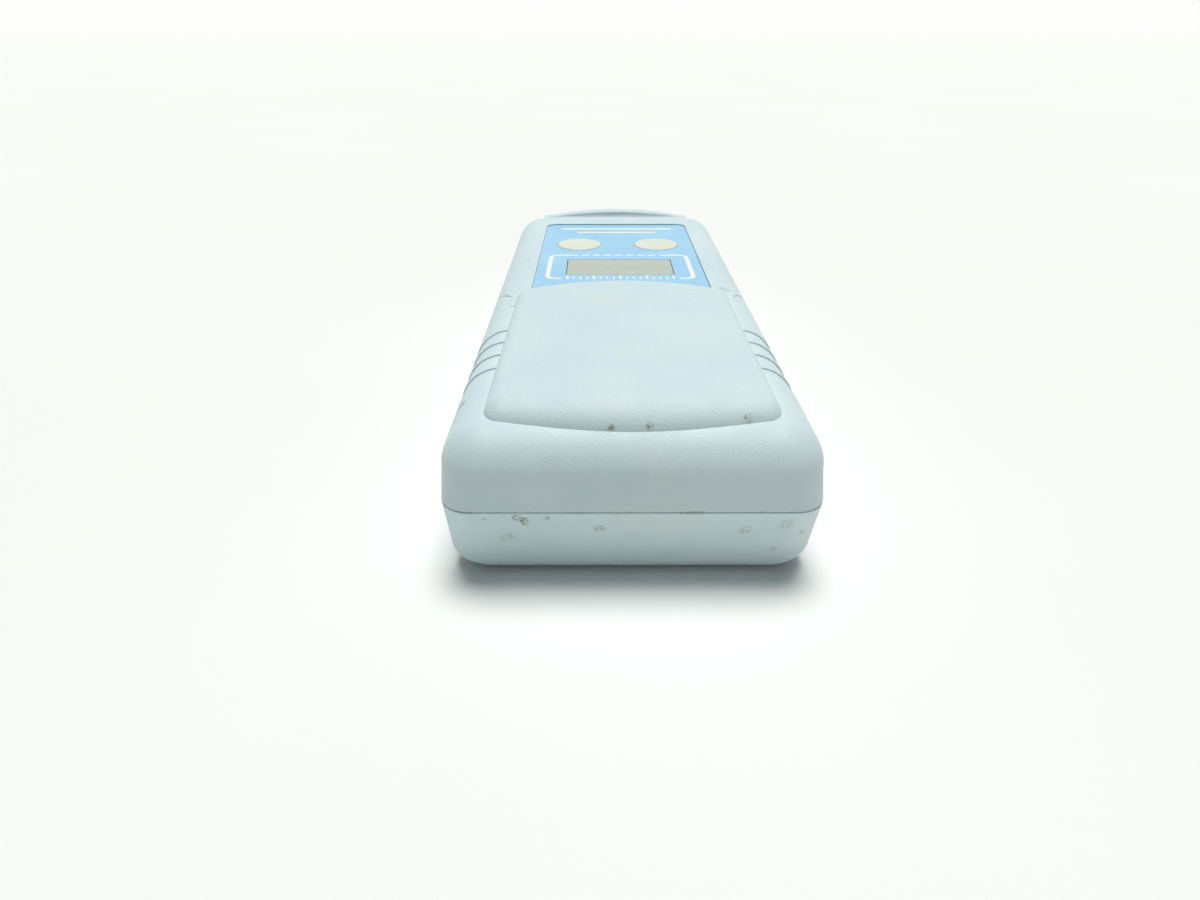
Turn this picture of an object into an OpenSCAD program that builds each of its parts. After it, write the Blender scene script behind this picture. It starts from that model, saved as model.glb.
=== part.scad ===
// Pocket-size portable colorimeter with a pull-off cap, lying on its back.
// Lengths are millimetres. The origin is under the middle of the body, +Z is up,
// the cap end is at -Y and the keypad end at +Y.

/* [Body] */
// Width at the seam
body_w = 61; // [60:0.5:64]
// Length over both ends
body_l = 152; // [148:1:160]
// Height of the flat top beside the label
rail_h = 28; // [27.6:0.1:29.2]
// Height of the seam between the upper and lower mouldings
seam_z = 15.5; // [15:0.1:16.2]
// Thickness of the moulded outer walls
wall = 2.2; // [1.8:0.1:2.4]
// Corner radius in plan at the seam
corner_r = 5; // [4.5:0.5:7]
// Radius of the long upper edges
side_r = 7.7; // [6:0.1:8.2]
// Radius of the upper end edges
end_r = 7.3; // [6:0.1:9]
// Radius of the lower edges, across the body
bottom_r = 7; // [6:0.5:8]
// Radius of the lower edges, along the body
bottom_end_r = 4; // [3:0.5:5]
// Height over which the lower edges round down
bottom_rise = 5; // [4:0.5:6]
// Inward lean of the upper walls
top_draft = 0.1; // [0:0.1:1]
// Inward lean of the lower walls
bottom_draft = 0.1; // [0:0.1:1]
// Inward lean of the lower walls at the two ends
end_lean = 3.8; // [2:0.1:4]

/* [Cap] */
// Length of the cap from its end to the middle of its mouth
cap_l = 67.4; // [66:0.2:70]
// Radius in plan of the curved mouth
mouth_r = 150; // [100:5:250]
// Radius of the rounded tongue on each side of the mouth
tongue_r = 12; // [10:0.5:12.5]
// Reach of the side tongues past the middle of the mouth
tongue_reach = 11.8; // [9:0.2:13]
// Gap between the cap's mouth and the housing's shoulder
mouth_gap = 0.3; // [0.25:0.05:0.6]
// Clearance between the cap and the neck it slides on
cap_clear = 0.35; // [0.3:0.05:0.6]
// Half width of the bulge on the cap
bulge_half_w = 23.7; // [22:0.1:24.5]
// Distance from the cap's end to the bulge
bulge_set = 4.4; // [4:0.2:8]
// Radius in plan of the bulge's end
bulge_end_r = 105; // [60:1:120]
// Height of the bulge above the flat top
bulge_rise = 3.8; // [3:0.1:5]
// Drop of the bulge's crown from the middle to its sides
bulge_crown = 1.4; // [0.8:0.1:1.8]
// Length over which the bulge's end rounds down, in the middle
bulge_nose = 8; // [5:0.5:10]
// The same length at the bulge's corners
bulge_corner = 4; // [3.5:0.1:6]
// Side rounding of the bulge
bulge_edge = 3; // [2.6:0.1:3.4]
// Solid web at the bulge's mouth end
bulge_web = 5.4; // [3:0.2:8]
// Number of grip steps on each side
grip_count = 4; // [2:1:5]
// Spacing of the grip steps
grip_pitch = 6.3; // [5:0.1:7]
// Distance from the mouth's middle to the first grip step
grip_set = 21; // [18:0.1:24]
// Depth of the grip steps
grip_depth = 0.4; // [0.3:0.05:0.7]

/* [Label, keys and display] */
// Half width of the label's recess
recess_half_w = 20.9; // [20:0.1:22]
// Depth of the label's recess
recess_d = 0.6; // [0.4:0.05:0.8]
// Distance from the keypad end to the label's recess
recess_set = 14.1; // [13:0.1:16]
// Corner radius of the label
label_r = 2.5; // [1:0.5:4]
// Thickness of the label
label_t = 0.3; // [0.2:0.05:0.4]
// Edge clearance of the label in its recess
label_gap = 0.2; // [0.1:0.05:0.4]
// Width of the display window
window_w = 26.6; // [24:0.2:28]
// Height of the display window along the body
window_l = 13.6; // [11:0.1:14]
// Distance from the mouth's middle to the centre of the window
window_set = 24.75; // [23:0.05:25.5]
// Clearance round the window pane
window_gap = 0.15; // [0.1:0.05:0.3]
// Rim of the window pane that is held under the housing
window_rim = 1.5; // [1:0.1:2]
// Radius of each key
key_r = 6.1; // [5:0.1:6.6]
// Half the spacing of the two keys
key_x = 10.7; // [10:0.1:11.5]
// Distance from the mouth's middle to the keys
key_set = 46.9; // [45:0.1:48]
// Running clearance round each key
key_clear = 0.2; // [0.15:0.05:0.3]
// Travel of a pressed key
key_travel = 0.5; // [0.3:0.05:0.6]
// Height of a key above the label
key_proud = 0.2; // [0.1:0.05:0.3]
// Distance from the keypad end to the front of the raised lip
lip_set = 8; // [7:0.1:9]
// Half width of the raised lip at its crest
lip_half_w = 22.6; // [20:0.1:23]
// Height of the lip's crest above the flat top
lip_rise = 2.4; // [1.5:0.1:3]

/* [Sample cell and light path] */
// Radius of the round well for the sample cell
well_r = 12.95; // [12:0.05:13.2]
// Distance from the cap end to the well's centre
well_set = 28; // [27.6:0.1:30]
// Wall of the well
well_wall = 2.05; // [1.6:0.05:2.4]
// Thickness of the well's floor
well_floor = 1.5; // [1.2:0.1:2.5]
// Height of the light path above the well's floor
beam_rise = 8.8; // [7:0.1:9]
// Radius of the lens, filter and photodiode
optic_r = 4; // [3.5:0.1:4.2]
// Radius of the lamp
lamp_r = 2.5; // [2:0.1:2.8]
// Thickness of the soft seal under the neck's roof
seal_t = 0.8; // [0.5:0.1:1]

/* [Circuit] */
// Thickness of the circuit boards
board_t = 1.6; // [1:0.1:1.8]
// Distance from the housing's roof down to the main board
board_drop = 6.7; // [6.4:0.1:7]
// Clearance of the main board inside the neck
board_gap = 1.95; // [1.2:0.05:3]
// Radius of the board's screw posts
board_post_r = 2.6; // [2.2:0.1:3]
// Thickness of the display glass
glass_t = 2.3; // [2:0.1:2.6]

/* [Batteries and door] */
// Diameter of a battery
cell_d = 10.5; // [10:0.1:10.6]
// Length of a battery
cell_l = 44.5; // [43:0.1:45]
// Spacing of the batteries
cell_pitch = 10.8; // [10.7:0.05:11]
// Space for the contacts at each end of the batteries
contact_space = 2.5; // [2:0.1:3]
// Distance from the keypad end to the battery bay
bay_set = 16; // [15.6:0.1:18]
// Wall of the battery bay
bay_wall = 1.4; // [1:0.1:1.6]
// Thickness of the battery door
door_t = 2; // [1.6:0.1:2.2]
// Clearance round the battery door
door_gap = 0.3; // [0.25:0.05:0.4]
// Ledge of the bay that the battery door lies against
door_ledge = 0.4; // [0.3:0.05:0.6]
// Height of the door's turned-up end
door_lift = 6; // [4:0.1:6.5]
// Width of the runners along the door's sides
runner_w = 0.9; // [0.6:0.1:1.1]

/* [Screws] */
// Radius of the case screws
screw_r = 1.25; // [1:0.05:1.4]
// Length of the case screws under the head
screw_l = 14.5; // [13:0.5:15]
// Radius of the case screws' heads
head_r = 2.6; // [2.2:0.1:2.7]
// Height of the seats that the case screws' heads pull on
seat_z = 5.6; // [5:0.1:6.5]
// Wall of plastic round a screw
post_wall = 1.75; // [1.4:0.05:2]
// Radius of the small board and holder screws
small_screw_r = 1; // [0.8:0.05:1.1]

/* [Hidden] */

shell_colour = [0.80, 0.87, 0.88];
label_colour = [0.62, 0.83, 0.94];
key_colour = [0.84, 0.88, 0.84];
black_plastic = [0.10, 0.10, 0.11];
metal_colour = [0.78, 0.78, 0.76];
board_colour = [0.12, 0.42, 0.26];

// Roundness of hull corners, of the long mouth curve, and a sliver for flat hull parts
fine = 32;
coarse = 24;
mouth_fn = 360;
sliver = 0.02;
// Overlap used where one solid is cut by another or grows out of it
cut = 0.5;

y_cap = -body_l / 2;
y_key = body_l / 2;
mouth_y = y_cap + cap_l;
tongue_y = mouth_y + tongue_reach;
tongue_x = recess_half_w + 1.2;

// Insets from the outer skin: the neck's outside and inside, and the second skin at the door
neck_in = wall + cap_clear;
neck_wall = 2;
bore_in = neck_in + neck_wall;
neck_half_w = body_w / 2 - bore_in;
neck_roof = rail_h - bore_in;
roof_z = rail_h - wall;
cavity_y0 = tongue_y + mouth_gap + wall;
roof_y0 = mouth_y + mouth_gap + wall;
roof_half_w = body_w / 2 - side_r;

label_z = rail_h - recess_d;
recess_y1 = y_key - recess_set;
window_y = mouth_y + window_set;
key_y = mouth_y + key_set;
window_hole = [window_w / 2 + window_gap, window_l / 2 + window_gap];
pane_rim = [window_w / 2 + window_rim, window_l / 2 + window_rim];
rim_t = 0.9;

board_top = roof_z - board_drop;
board_bottom = board_top - board_t;
board_half_w = neck_half_w - board_gap;

// Sample cell, its holder and the light path through it
well_y = y_cap + well_set;
holder_z0 = bore_in + 0.15;
well_bottom = holder_z0 + well_floor;
beam_z = well_bottom + beam_rise;
tube_r = well_r + well_wall;
shoulder_r = tube_r + 1.8;
shoulder_z = neck_roof - seal_t;
tower_half_h = optic_r + 1.5;
lamp_face = well_y - tube_r - 4;
detector_face = well_y + tube_r + 7;
optic_seat = well_y + well_r + 1.5;
holder_post_r = small_screw_r + 1.6;
holder_post = [14.2, 13.6];
flange_z = [beam_z, beam_z + 2.5];
flange_half = holder_post + [holder_post_r + 0.2, holder_post_r + 0.2];
lens_t = 2.2;
filter_t = 2.6;
diode_l = 2.2;
optic_air = 0.2;

// Small boards on the holder
small_board_t = 1.2;
lamp_board_half_w = 6.5;
board_reach = 6.5;

board_y0 = detector_face + 8;
socket_size = [5, 4, 3.3];
socket_y = board_y0 + 3.5;
lead_t = 1.1;
lead_h = 2.4;
lead_x = flange_half[0] + 0.4 + lead_t / 2;
ribbon_t = 0.6;
ribbon_half_w = 5;
ribbon_z = board_top + 1.5;

// Battery bay
cell_rows = 4;
bay_half_w = cell_pitch * (cell_rows - 1) / 2 + cell_d / 2 + 0.45;
bay_y1 = y_key - bay_set;
bay_y0 = bay_y1 - cell_l - 2 * contact_space;
cell_z = door_t + 0.4 + cell_d / 2;
bay_top = cell_z + cell_d / 2 + 0.3;
bay_roof = bay_top + 1.2;
plate_t = 0.5;
plate_half = cell_d / 2 - 0.6;
tab_half = 2;
board_y1 = bay_y1 + 1;

door_half_w = bay_half_w + door_ledge - door_gap;
runner_z = [1, door_t - 0.1];
pan_in = door_t + door_gap;
pan_t = 1.5;

// Case screws: a pair near the cap end, a pair behind the mouth and a pair under the door
post_r = screw_r + post_wall;
post_at = [[neck_half_w - post_r - 1.1, y_cap + 11], [18, mouth_y + 6.6],
    [18, y_key - 10.5]];
head_h = 1.8;
boss_r = head_r + 1.1;
boss_z = seat_z + 1;
board_post_at = [[board_half_w - 3, window_y - 1], [board_half_w - 3, key_y + 16.5]];

frame_half = [17, window_l / 2 + 4.1];
glass_half = [15.5, window_l / 2 + 2.6];
glass_top = roof_z - rim_t - 0.25;
strip_half_w = glass_half[0] - 0.7;
strip_t = 2;

key_flange_z = [roof_z - 1.5, roof_z - 0.3];
key_flange_r = key_r + 1.1;
stem_r = 2.5;
stem_z = key_flange_z[0] - 1.1;
switch_top = stem_z - key_travel - 0.1;

function arc(c, r, a0, a1, n = 8) =
    [for (i = [0 : n]) let (a = a0 + (a1 - a0) * i / n) c + r * [cos(a), sin(a)]];
function unit(v) = v / norm(v);
function left(v) = [-v[1], v[0]];
function rail(p, d) = [for (i = [0 : len(p) - 1])
    let (a = left(unit(i == 0 ? p[1] - p[0] : p[i] - p[i - 1])),
        b = left(unit(i == len(p) - 1 ? p[i] - p[i - 1] : p[i + 1] - p[i])),
        n = unit(a + b)) p[i] + n * d / (n * a)];
function crown(x, top, drop, half_w) = top - drop * x * x / (half_w * half_w);

// A bent flat strip of thickness t along a path
module strip(p, t) {
    back = rail(p, -t / 2);
    polygon(concat(rail(p, t / 2), [for (i = [len(back) - 1 : -1 : 0]) back[i]]));
}

module both_sides() {
    children();
    mirror([1, 0, 0]) children();
}

// Half of an ellipsoid above its middle, or below it where up is -1
module half_ball(rx, ry, rz, up, fn) {
    scale([rx, ry, rz]) mirror([0, 0, up < 0 ? 1 : 0]) rotate_extrude($fn = fn)
        polygon(concat([[0, 0]], arc([0, 0], 1, 0, 90, fn / 4)));
}

// Plate with rounded corners between y0 and y1
module plate(half_w, y0, y1, r, h) {
    linear_extrude(h) polygon(concat(
        arc([half_w - r, y1 - r], r, 0, 90), arc([r - half_w, y1 - r], r, 90, 180),
        arc([r - half_w, y0 + r], r, 180, 270), arc([half_w - r, y0 + r], r, 270, 360)));
}

module box_from(low, high) {
    translate(low) cube(high - low);
}

// Upper half of the body's form, set in from its skin, from y0 to y1
module upper_form(inset, y0, y1, lap = 0, fn = fine) {
    rc = max(corner_r - inset, 0.8);
    rx = max(side_r - inset, 0.8);
    ry = max(end_r - inset, 0.8);
    hw = body_w / 2 - inset;
    hull() both_sides() for (end = [[y0, 1], [y1, -1]]) {
        translate([hw - rc, end[0] + end[1] * rc, seam_z - lap])
            cylinder(r = rc, h = lap + sliver, $fn = fn);
        translate([hw - top_draft - rx, end[0] + end[1] * (top_draft + ry),
            rail_h - inset - rx]) half_ball(rx, ry, rx, 1, fn);
    }
}

// Lower half of the same form
module lower_form(inset, y0, y1, lap = 0, fn = fine) {
    rc = max(corner_r - inset, 0.8);
    rx = max(bottom_r - inset, 0.8);
    ry = max(bottom_end_r - inset, 0.8);
    rz = max(bottom_rise - inset, 0.8);
    hw = body_w / 2 - inset;
    hull() both_sides() for (end = [[y0, 1], [y1, -1]]) {
        translate([hw - rc, end[0] + end[1] * rc, seam_z - sliver])
            cylinder(r = rc, h = lap + sliver, $fn = fn);
        translate([hw - bottom_draft - rx, end[0] + end[1] * (end_lean + ry),
            inset + rz]) half_ball(rx, ry, rz, -1, fn);
    }
}

// Everything on the cap's side of its mouth, grown by a gap
module cap_zone(gap) {
    translate([0, mouth_y - mouth_r, -cut])
        cylinder(r = mouth_r + gap, h = rail_h + 12, $fn = mouth_fn);
    both_sides() translate([tongue_x - gap, tongue_y - tongue_r, seam_z]) rotate([0, 90, 0])
        cylinder(r = tongue_r + gap, h = body_w, $fn = 96);
}

// Crowned bulge, set in from its skin, ending at y1
module bulge_form(inset, y1, fn) {
    hw = bulge_half_w - bulge_edge;
    base = rail_h - 1;
    edge = bulge_edge - inset;
    hull() for (i = [-3 : 3]) {
        x = i * hw / 3;
        top = crown(x, rail_h + bulge_rise, bulge_crown, hw) - inset;
        y0 = y_cap + bulge_set + x * x / (2 * bulge_end_r);
        nose = crown(x, bulge_nose, bulge_nose - bulge_corner, hw);
        translate([x, y0 + nose, base])
            half_ball(edge, nose - inset, top - base, 1, fn);
        translate([x, y1, base]) rotate([90, 0, 0]) scale([edge, top - base - 0.4, 1])
            cylinder(r = 1, h = sliver, $fn = fn);
    }
}

// Taper that leaves one grip step: just outside the skin at y0, sunk by the depth at y1
module grip_taper(y0, y1) {
    hull() for (s = [[y0, -0.08], [y1, grip_depth]]) {
        r = side_r - s[1];
        translate([0, s[0], 0]) both_sides() {
            translate([body_w / 2 - top_draft - side_r, 0, rail_h - side_r])
                rotate([90, 0, 0]) cylinder(r = r, h = sliver, $fn = 48);
            translate([body_w / 2 - corner_r - s[1], -sliver, seam_z - 2 * cut])
                cube([corner_r, sliver, 2 * cut]);
        }
    }
}

module posts(at, r, z0, z1) {
    both_sides() translate([at[0], at[1], z0]) cylinder(r = r, h = z1 - z0, $fn = 32);
}

module front_housing() {
    color(shell_colour) difference() {
        union() {
            difference() {
                union() {
                    difference() {
                        upper_form(0, y_cap, y_key);
                        cap_zone(mouth_gap);
                    }
                    upper_form(neck_in, y_cap + neck_in, cavity_y0 + 8);
                    raised_lip();
                }
                upper_form(wall, cavity_y0, y_key - wall, cut, coarse);
                upper_form(bore_in, y_cap + bore_in, cavity_y0 + 8, cut, coarse);
                box_from([-roof_half_w, roof_y0, seam_z - cut],
                    [roof_half_w, cavity_y0 + 8, roof_z]);
            }
            posts(post_at[0], post_r, seam_z, neck_roof + cut);
            for (i = [1, 2]) posts(post_at[i], post_r, seam_z, roof_z + cut);
            for (at = board_post_at) posts(at, board_post_r, board_top, roof_z + cut);
            for (s = [-1, 1]) posts([holder_post[0], well_y + s * holder_post[1]],
                holder_post_r, flange_z[1], neck_roof + cut);
        }
        translate([0, 0, label_z]) plate(recess_half_w, mouth_y - 30, recess_y1, label_r, 5);
        translate([0, window_y, roof_z - cut]) linear_extrude(5)
            square(2 * window_hole, center = true);
        posts([key_x, key_y], key_r + key_clear, roof_z - cut, rail_h);
        translate([0, well_y, neck_roof - cut])
            cylinder(r = tube_r + 0.2, h = 5, $fn = 96);
        for (at = post_at) posts(at, screw_r, seam_z - cut, seat_z + screw_l + 1);
        for (at = board_post_at) posts(at, small_screw_r, board_top - cut, board_top + 5.5);
        for (s = [-1, 1]) posts([holder_post[0], well_y + s * holder_post[1]],
            small_screw_r, flange_z[1] - cut, neck_roof - 0.4);
    }
}

// Crowned lip across the keypad end. Each section gives its distance from the lip's front,
// its height and its width as shares of the crest's.
module raised_lip() {
    sections = [[0, 0.5, 0.84], [2, 0.86, 0.96], [4, 1, 1], [5.6, 0.7, 0.98],
        [6.9, -0.1, 0.93], [7.4, -1.4, 0.86]];
    hull() for (s = sections) {
        hw = lip_half_w * s[2];
        top = rail_h + lip_rise * s[1];
        drop = max(lip_rise * s[1], 0.8);
        translate([0, y_key - lip_set + s[0], 0]) rotate([90, 0, 0]) linear_extrude(sliver)
            polygon(concat([for (i = [-6 : 6]) let (x = i * hw / 6)
                [x, crown(x, top, drop, hw)]], [[hw, seam_z + 5], [-hw, seam_z + 5]]));
    }
}

module rear_housing() {
    bay_out = bay_half_w + bay_wall;
    color(shell_colour) difference() {
        union() {
            rear_skin();
            box_from([-bay_out, bay_y0 - bay_wall, wall / 2],
                [bay_out, bay_y1 + bay_wall, bay_roof]);
            posts(post_at[0], post_r, bore_in - cut, seam_z);
            posts(post_at[1], post_r, wall - cut, seam_z);
            posts(post_at[2], post_r, pan_in + cut, seam_z);
            posts(post_at[0], boss_r, bore_in - cut, boss_z);
            posts(post_at[1], boss_r, wall - cut, boss_z);
            posts(post_at[2], boss_r, pan_in + cut, boss_z);
        }
        door_opening();
        box_from([-bay_half_w, bay_y0, door_t / 2], [bay_half_w, bay_y1, bay_top]);
        for (side = [-1, 1]) translate([side * cell_pitch * 1.5, 0, bay_top - cut])
            box_from([-tab_half - 0.3, bay_y1 - plate_t - 0.3, 0],
                [tab_half + 0.3, bay_y1, 2 * cut + 2]);
        for (at = post_at) posts(at, head_r + 0.3, -cut, seat_z);
        for (at = post_at) posts(at, screw_r + 0.2, seat_z - cut, seam_z + cut);
    }
}

// Hollow lower moulding with the neck that the cap slides on. Its skin is double the
// thickness at the keypad end, where the door's turned-up end is let into it.
module rear_skin() {
    end_in = pan_in + pan_t;
    difference() {
        union() {
            difference() {
                lower_form(0, y_cap, y_key);
                cap_zone(mouth_gap);
            }
            lower_form(neck_in, y_cap + neck_in, cavity_y0 + 8);
        }
        lower_form(wall, cavity_y0, bay_y1 + bay_wall + 6, cut, coarse);
        lower_form(end_in, bay_y0, y_key - end_in, cut, coarse);
        lower_form(bore_in, y_cap + bore_in, cavity_y0 + 8, cut, coarse);
    }
}

// Space that the battery door and its runners fill, open towards the keypad end
module door_opening() {
    hw = door_half_w + door_gap;
    difference() {
        box_from([-hw, bay_y0 - door_ledge, -cut], [hw, y_key + cut, door_lift + door_gap]);
        lower_form(pan_in, y_cap, y_key - pan_in, 0, coarse);
    }
    both_sides() box_from([hw - cut, bay_y0 - door_ledge, runner_z[0] - door_gap],
        [hw + runner_w, y_key + cut, runner_z[1] + door_gap]);
}

module keypad_overlay() {
    hw = recess_half_w - label_gap;
    color(label_colour) translate([0, 0, label_z]) difference() {
        plate(hw, mouth_y - 30, recess_y1 - label_gap, label_r, label_t);
        translate([0, mouth_y - mouth_r, -cut])
            cylinder(r = mouth_r + mouth_gap, h = 2 * cut + label_t, $fn = mouth_fn);
        translate([0, window_y, -cut]) linear_extrude(2 * cut + label_t)
            square(2 * window_hole, center = true);
        posts([key_x, key_y], key_r + key_clear, -cut, cut + label_t);
    }
}

module display_window() {
    color([0.79, 0.81, 0.76, 0.6]) {
        translate([0, window_y, roof_z - cut]) linear_extrude(label_z + label_t - roof_z + cut)
            square([window_w, window_l], center = true);
        translate([0, window_y, roof_z - rim_t]) linear_extrude(rim_t)
            square(2 * pane_rim, center = true);
    }
}

module key_button() {
    top = label_z + label_t + key_proud;
    color(key_colour) rotate_extrude($fn = 64) polygon([[0, stem_z], [stem_r, stem_z],
        [stem_r, key_flange_z[0]], [key_flange_r, key_flange_z[0]],
        [key_flange_r, key_flange_z[1]], [key_r, key_flange_z[1]],
        [key_r, top - 0.2], [key_r - 0.2, top], [0, top]]);
}

module zero_key() {
    translate([key_x, key_y, 0]) key_button();
}

module read_key() {
    translate([-key_x, key_y, 0]) key_button();
}

module cap_upper_shell() {
    color(shell_colour) difference() {
        intersection() {
            union() {
                difference() {
                    upper_form(0, y_cap, y_key);
                    for (i = [0 : grip_count - 1])
                        grip_cut(mouth_y - grip_set - i * grip_pitch);
                }
                bulge_form(0, y_key, 24);
            }
            cap_zone(0);
        }
        upper_form(wall, y_cap + wall, tongue_y + 16, cut, coarse);
        bulge_form(wall, mouth_y - bulge_web, 16);
    }
}

// Material that one grip step takes away, from just under the bulge's edge outwards
module grip_cut(y1) {
    y0 = y1 - grip_pitch + 0.4;
    both_sides() difference() {
        box_from([bulge_half_w - 1, y0, seam_z - cut], [body_w, y1, rail_h + 1]);
        grip_taper(y0, y1);
    }
}

module cap_lower_shell() {
    color(shell_colour) difference() {
        intersection() {
            lower_form(0, y_cap, y_key);
            cap_zone(0);
        }
        lower_form(wall, y_cap + wall, tongue_y + 16, cut, coarse);
    }
}

// Turned part along the light path, from a face at y
module on_beam(y) {
    translate([0, y, beam_z]) rotate([-90, 0, 0]) children();
}

module cell_holder() {
    color(black_plastic) difference() {
        union() {
            translate([0, well_y, holder_z0])
                cylinder(r = tube_r, h = rail_h - neck_in - holder_z0, $fn = 96);
            translate([0, well_y, shoulder_z - 1.6])
                cylinder(r = shoulder_r, h = 1.6, $fn = 96);
            translate([0, 0, flange_z[0]]) plate(flange_half[0], well_y - flange_half[1],
                well_y + flange_half[1], holder_post_r, flange_z[1] - flange_z[0]);
            box_from([-tower_half_h, lamp_face, beam_z - tower_half_h],
                [tower_half_h, well_y, beam_z + tower_half_h]);
            box_from([-tower_half_h, well_y, beam_z - tower_half_h],
                [tower_half_h, detector_face, beam_z + tower_half_h]);
        }
        translate([0, well_y, well_bottom]) cylinder(r = well_r, h = rail_h, $fn = 96);
        on_beam(lamp_face - cut) cylinder(r = lamp_r + 0.1, h = 4.6 + cut, $fn = 48);
        on_beam(lamp_face - cut) cylinder(r = lamp_r + 0.5, h = 1.1 + cut, $fn = 48);
        on_beam(lamp_face) cylinder(r = 1.5, h = well_set, $fn = 32);
        on_beam(optic_seat) cylinder(r = optic_r + 0.1, h = well_set, $fn = 48);
        on_beam(well_y) cylinder(r = 2, h = well_set, $fn = 32);
        for (s = [-1, 1]) posts([holder_post[0], well_y + s * holder_post[1]],
            small_screw_r + 0.15, flange_z[0] - cut, flange_z[1] + cut);
    }
}

module ring(r0, r1, h) {
    rotate_extrude($fn = 96) translate([r0, 0]) square([r1 - r0, h]);
}

module cell_seal() {
    color([0.2, 0.2, 0.2]) translate([0, well_y, shoulder_z])
        ring(tube_r + 0.05, shoulder_r, seal_t);
}

module lamp() {
    color([0.9, 0.92, 0.85]) on_beam(lamp_face) rotate_extrude($fn = 48) {
        square([lamp_r + 0.4, 1]);
        square([lamp_r, 2]);
        translate([0, 2]) intersection() {
            circle(r = lamp_r, $fn = 48);
            square(lamp_r);
        }
    }
}

module lamp_board() {
    color(board_colour) box_from([-lamp_board_half_w, lamp_face - small_board_t,
        beam_z - board_reach], [lamp_board_half_w, lamp_face, beam_z + board_reach]);
}

module lamp_lead() {
    y = lamp_face - small_board_t - lead_t / 2;
    color([0.7, 0.1, 0.1]) translate([0, 0, board_top + 0.2]) linear_extrude(lead_h)
        strip([[3, y], [lead_x - 1.5, y], [lead_x - 0.45, y + 0.45], [lead_x, y + 1.5],
            [lead_x, socket_y - socket_size[1] / 2]], lead_t);
}

module collimating_lens() {
    color([0.85, 0.92, 0.95, 0.6]) on_beam(optic_seat) rotate_extrude($fn = 48)
        polygon([[0, 0], [optic_r, 0], [optic_r, 1], [optic_r * 0.75, 1.55],
            [optic_r * 0.4, 2], [0, lens_t]]);
}

module interference_filter() {
    color([0.85, 0.6, 0.2]) on_beam(optic_seat + lens_t + optic_air)
        cylinder(r = optic_r, h = filter_t, $fn = 48);
}

module photodiode() {
    y = optic_seat + lens_t + filter_t + 2 * optic_air;
    color(metal_colour) {
        on_beam(y) cylinder(r = optic_r - 0.3, h = diode_l, $fn = 48);
        on_beam(y + diode_l - 0.6) cylinder(r = optic_r, h = 0.6, $fn = 48);
        for (a = [90, 210, 330]) translate([1.5 * cos(a), 0, 1.5 * sin(a)])
            on_beam(y + diode_l - 0.1)
                cylinder(r = 0.22, h = detector_face - y - diode_l + 0.1, $fn = 16);
    }
}

module detector_board() {
    color(board_colour) box_from([-7.5, detector_face, beam_z - board_reach],
        [7.5, detector_face + small_board_t, beam_z + board_reach]);
}

module detector_ribbon() {
    y = detector_face + small_board_t + ribbon_t / 2;
    color([0.6, 0.6, 0.62]) rotate([90, 0, 90]) translate([0, 0, -ribbon_half_w])
        linear_extrude(2 * ribbon_half_w) strip([[y, beam_z - 2], [y, ribbon_z - 1.4],
            [y + 0.4, ribbon_z - 0.4], [y + 1.4, ribbon_z],
            [socket_y - socket_size[1] / 2, ribbon_z]], ribbon_t);
}

module main_board() {
    color(board_colour) difference() {
        translate([0, 0, board_bottom])
            plate(board_half_w, board_y0, board_y1, 1, board_t);
        posts(post_at[1], post_r + 0.4, board_bottom - cut, board_top + cut);
        for (at = board_post_at)
            posts(at, small_screw_r + 0.15, board_bottom - cut, board_top + cut);
    }
}

module microcontroller() {
    color(black_plastic) translate([-6, key_y - 9.3, board_bottom - 1.6])
        cube([12, 12, 1.6]);
}

module amplifier_chip() {
    color(black_plastic) translate([-15, socket_y + 1.5, board_top]) cube([6, 4, 1.6]);
}

module smoothing_capacitor() {
    color(metal_colour) translate([9, key_y + 15.7, board_top]) {
        cylinder(r = 3.1, h = 5.2, $fn = 48);
        translate([-3.3, -3.3, 0]) cube([6.6, 6.6, 0.6]);
    }
}

module timing_crystal() {
    color(metal_colour) translate([-14, key_y + 14.7, board_top + 1.5])
        rotate([0, 90, 0]) cylinder(r = 1.5, h = 8, $fn = 32);
}

module key_switches() {
    color(black_plastic) both_sides() translate([key_x, key_y, 0]) {
        translate([-3, -3, board_top]) cube([6, 6, switch_top - board_top - 1]);
        translate([0, 0, board_top]) cylinder(r = 1.75, h = switch_top - board_top, $fn = 32);
    }
}

module cable_sockets() {
    color([0.9, 0.88, 0.8]) for (s = [[0, ribbon_half_w + 1], [lead_x, socket_size[0] / 2]])
        box_from([s[0] - s[1], socket_y - socket_size[1] / 2, board_top],
            [s[0] + s[1], socket_y + socket_size[1] / 2, board_top + socket_size[2]]);
}

// Pan-head screw standing on its head's seat at the origin, with a cross recess
module screw(r, length, head, height) {
    difference() {
        union() {
            translate([0, 0, -height]) cylinder(r = head, h = height, $fn = 32);
            cylinder(r = r, h = length, $fn = 32);
        }
        for (a = [0, 90]) rotate(a) translate([-head * 0.6, -0.3, -height - cut])
            cube([head * 1.2, 0.6, cut + height / 2]);
    }
}

module board_screws() {
    color(metal_colour) for (at = board_post_at) both_sides()
        translate([at[0], at[1], board_bottom]) screw(small_screw_r, 6.5, 1.9, 1.2);
}

module holder_screws() {
    color(metal_colour) for (s = [-1, 1]) both_sides()
        translate([holder_post[0], well_y + s * holder_post[1], flange_z[0]])
            screw(small_screw_r, 5.5, 1.9, 1.2);
}

module case_screws() {
    color(metal_colour) for (at = post_at) both_sides()
        translate([at[0], at[1], seat_z]) screw(screw_r, screw_l, head_r, head_h);
}

module display_glass() {
    color([0.70, 0.74, 0.68]) translate([0, window_y, glass_top - glass_t])
        linear_extrude(glass_t) square(2 * glass_half, center = true);
}

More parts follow.
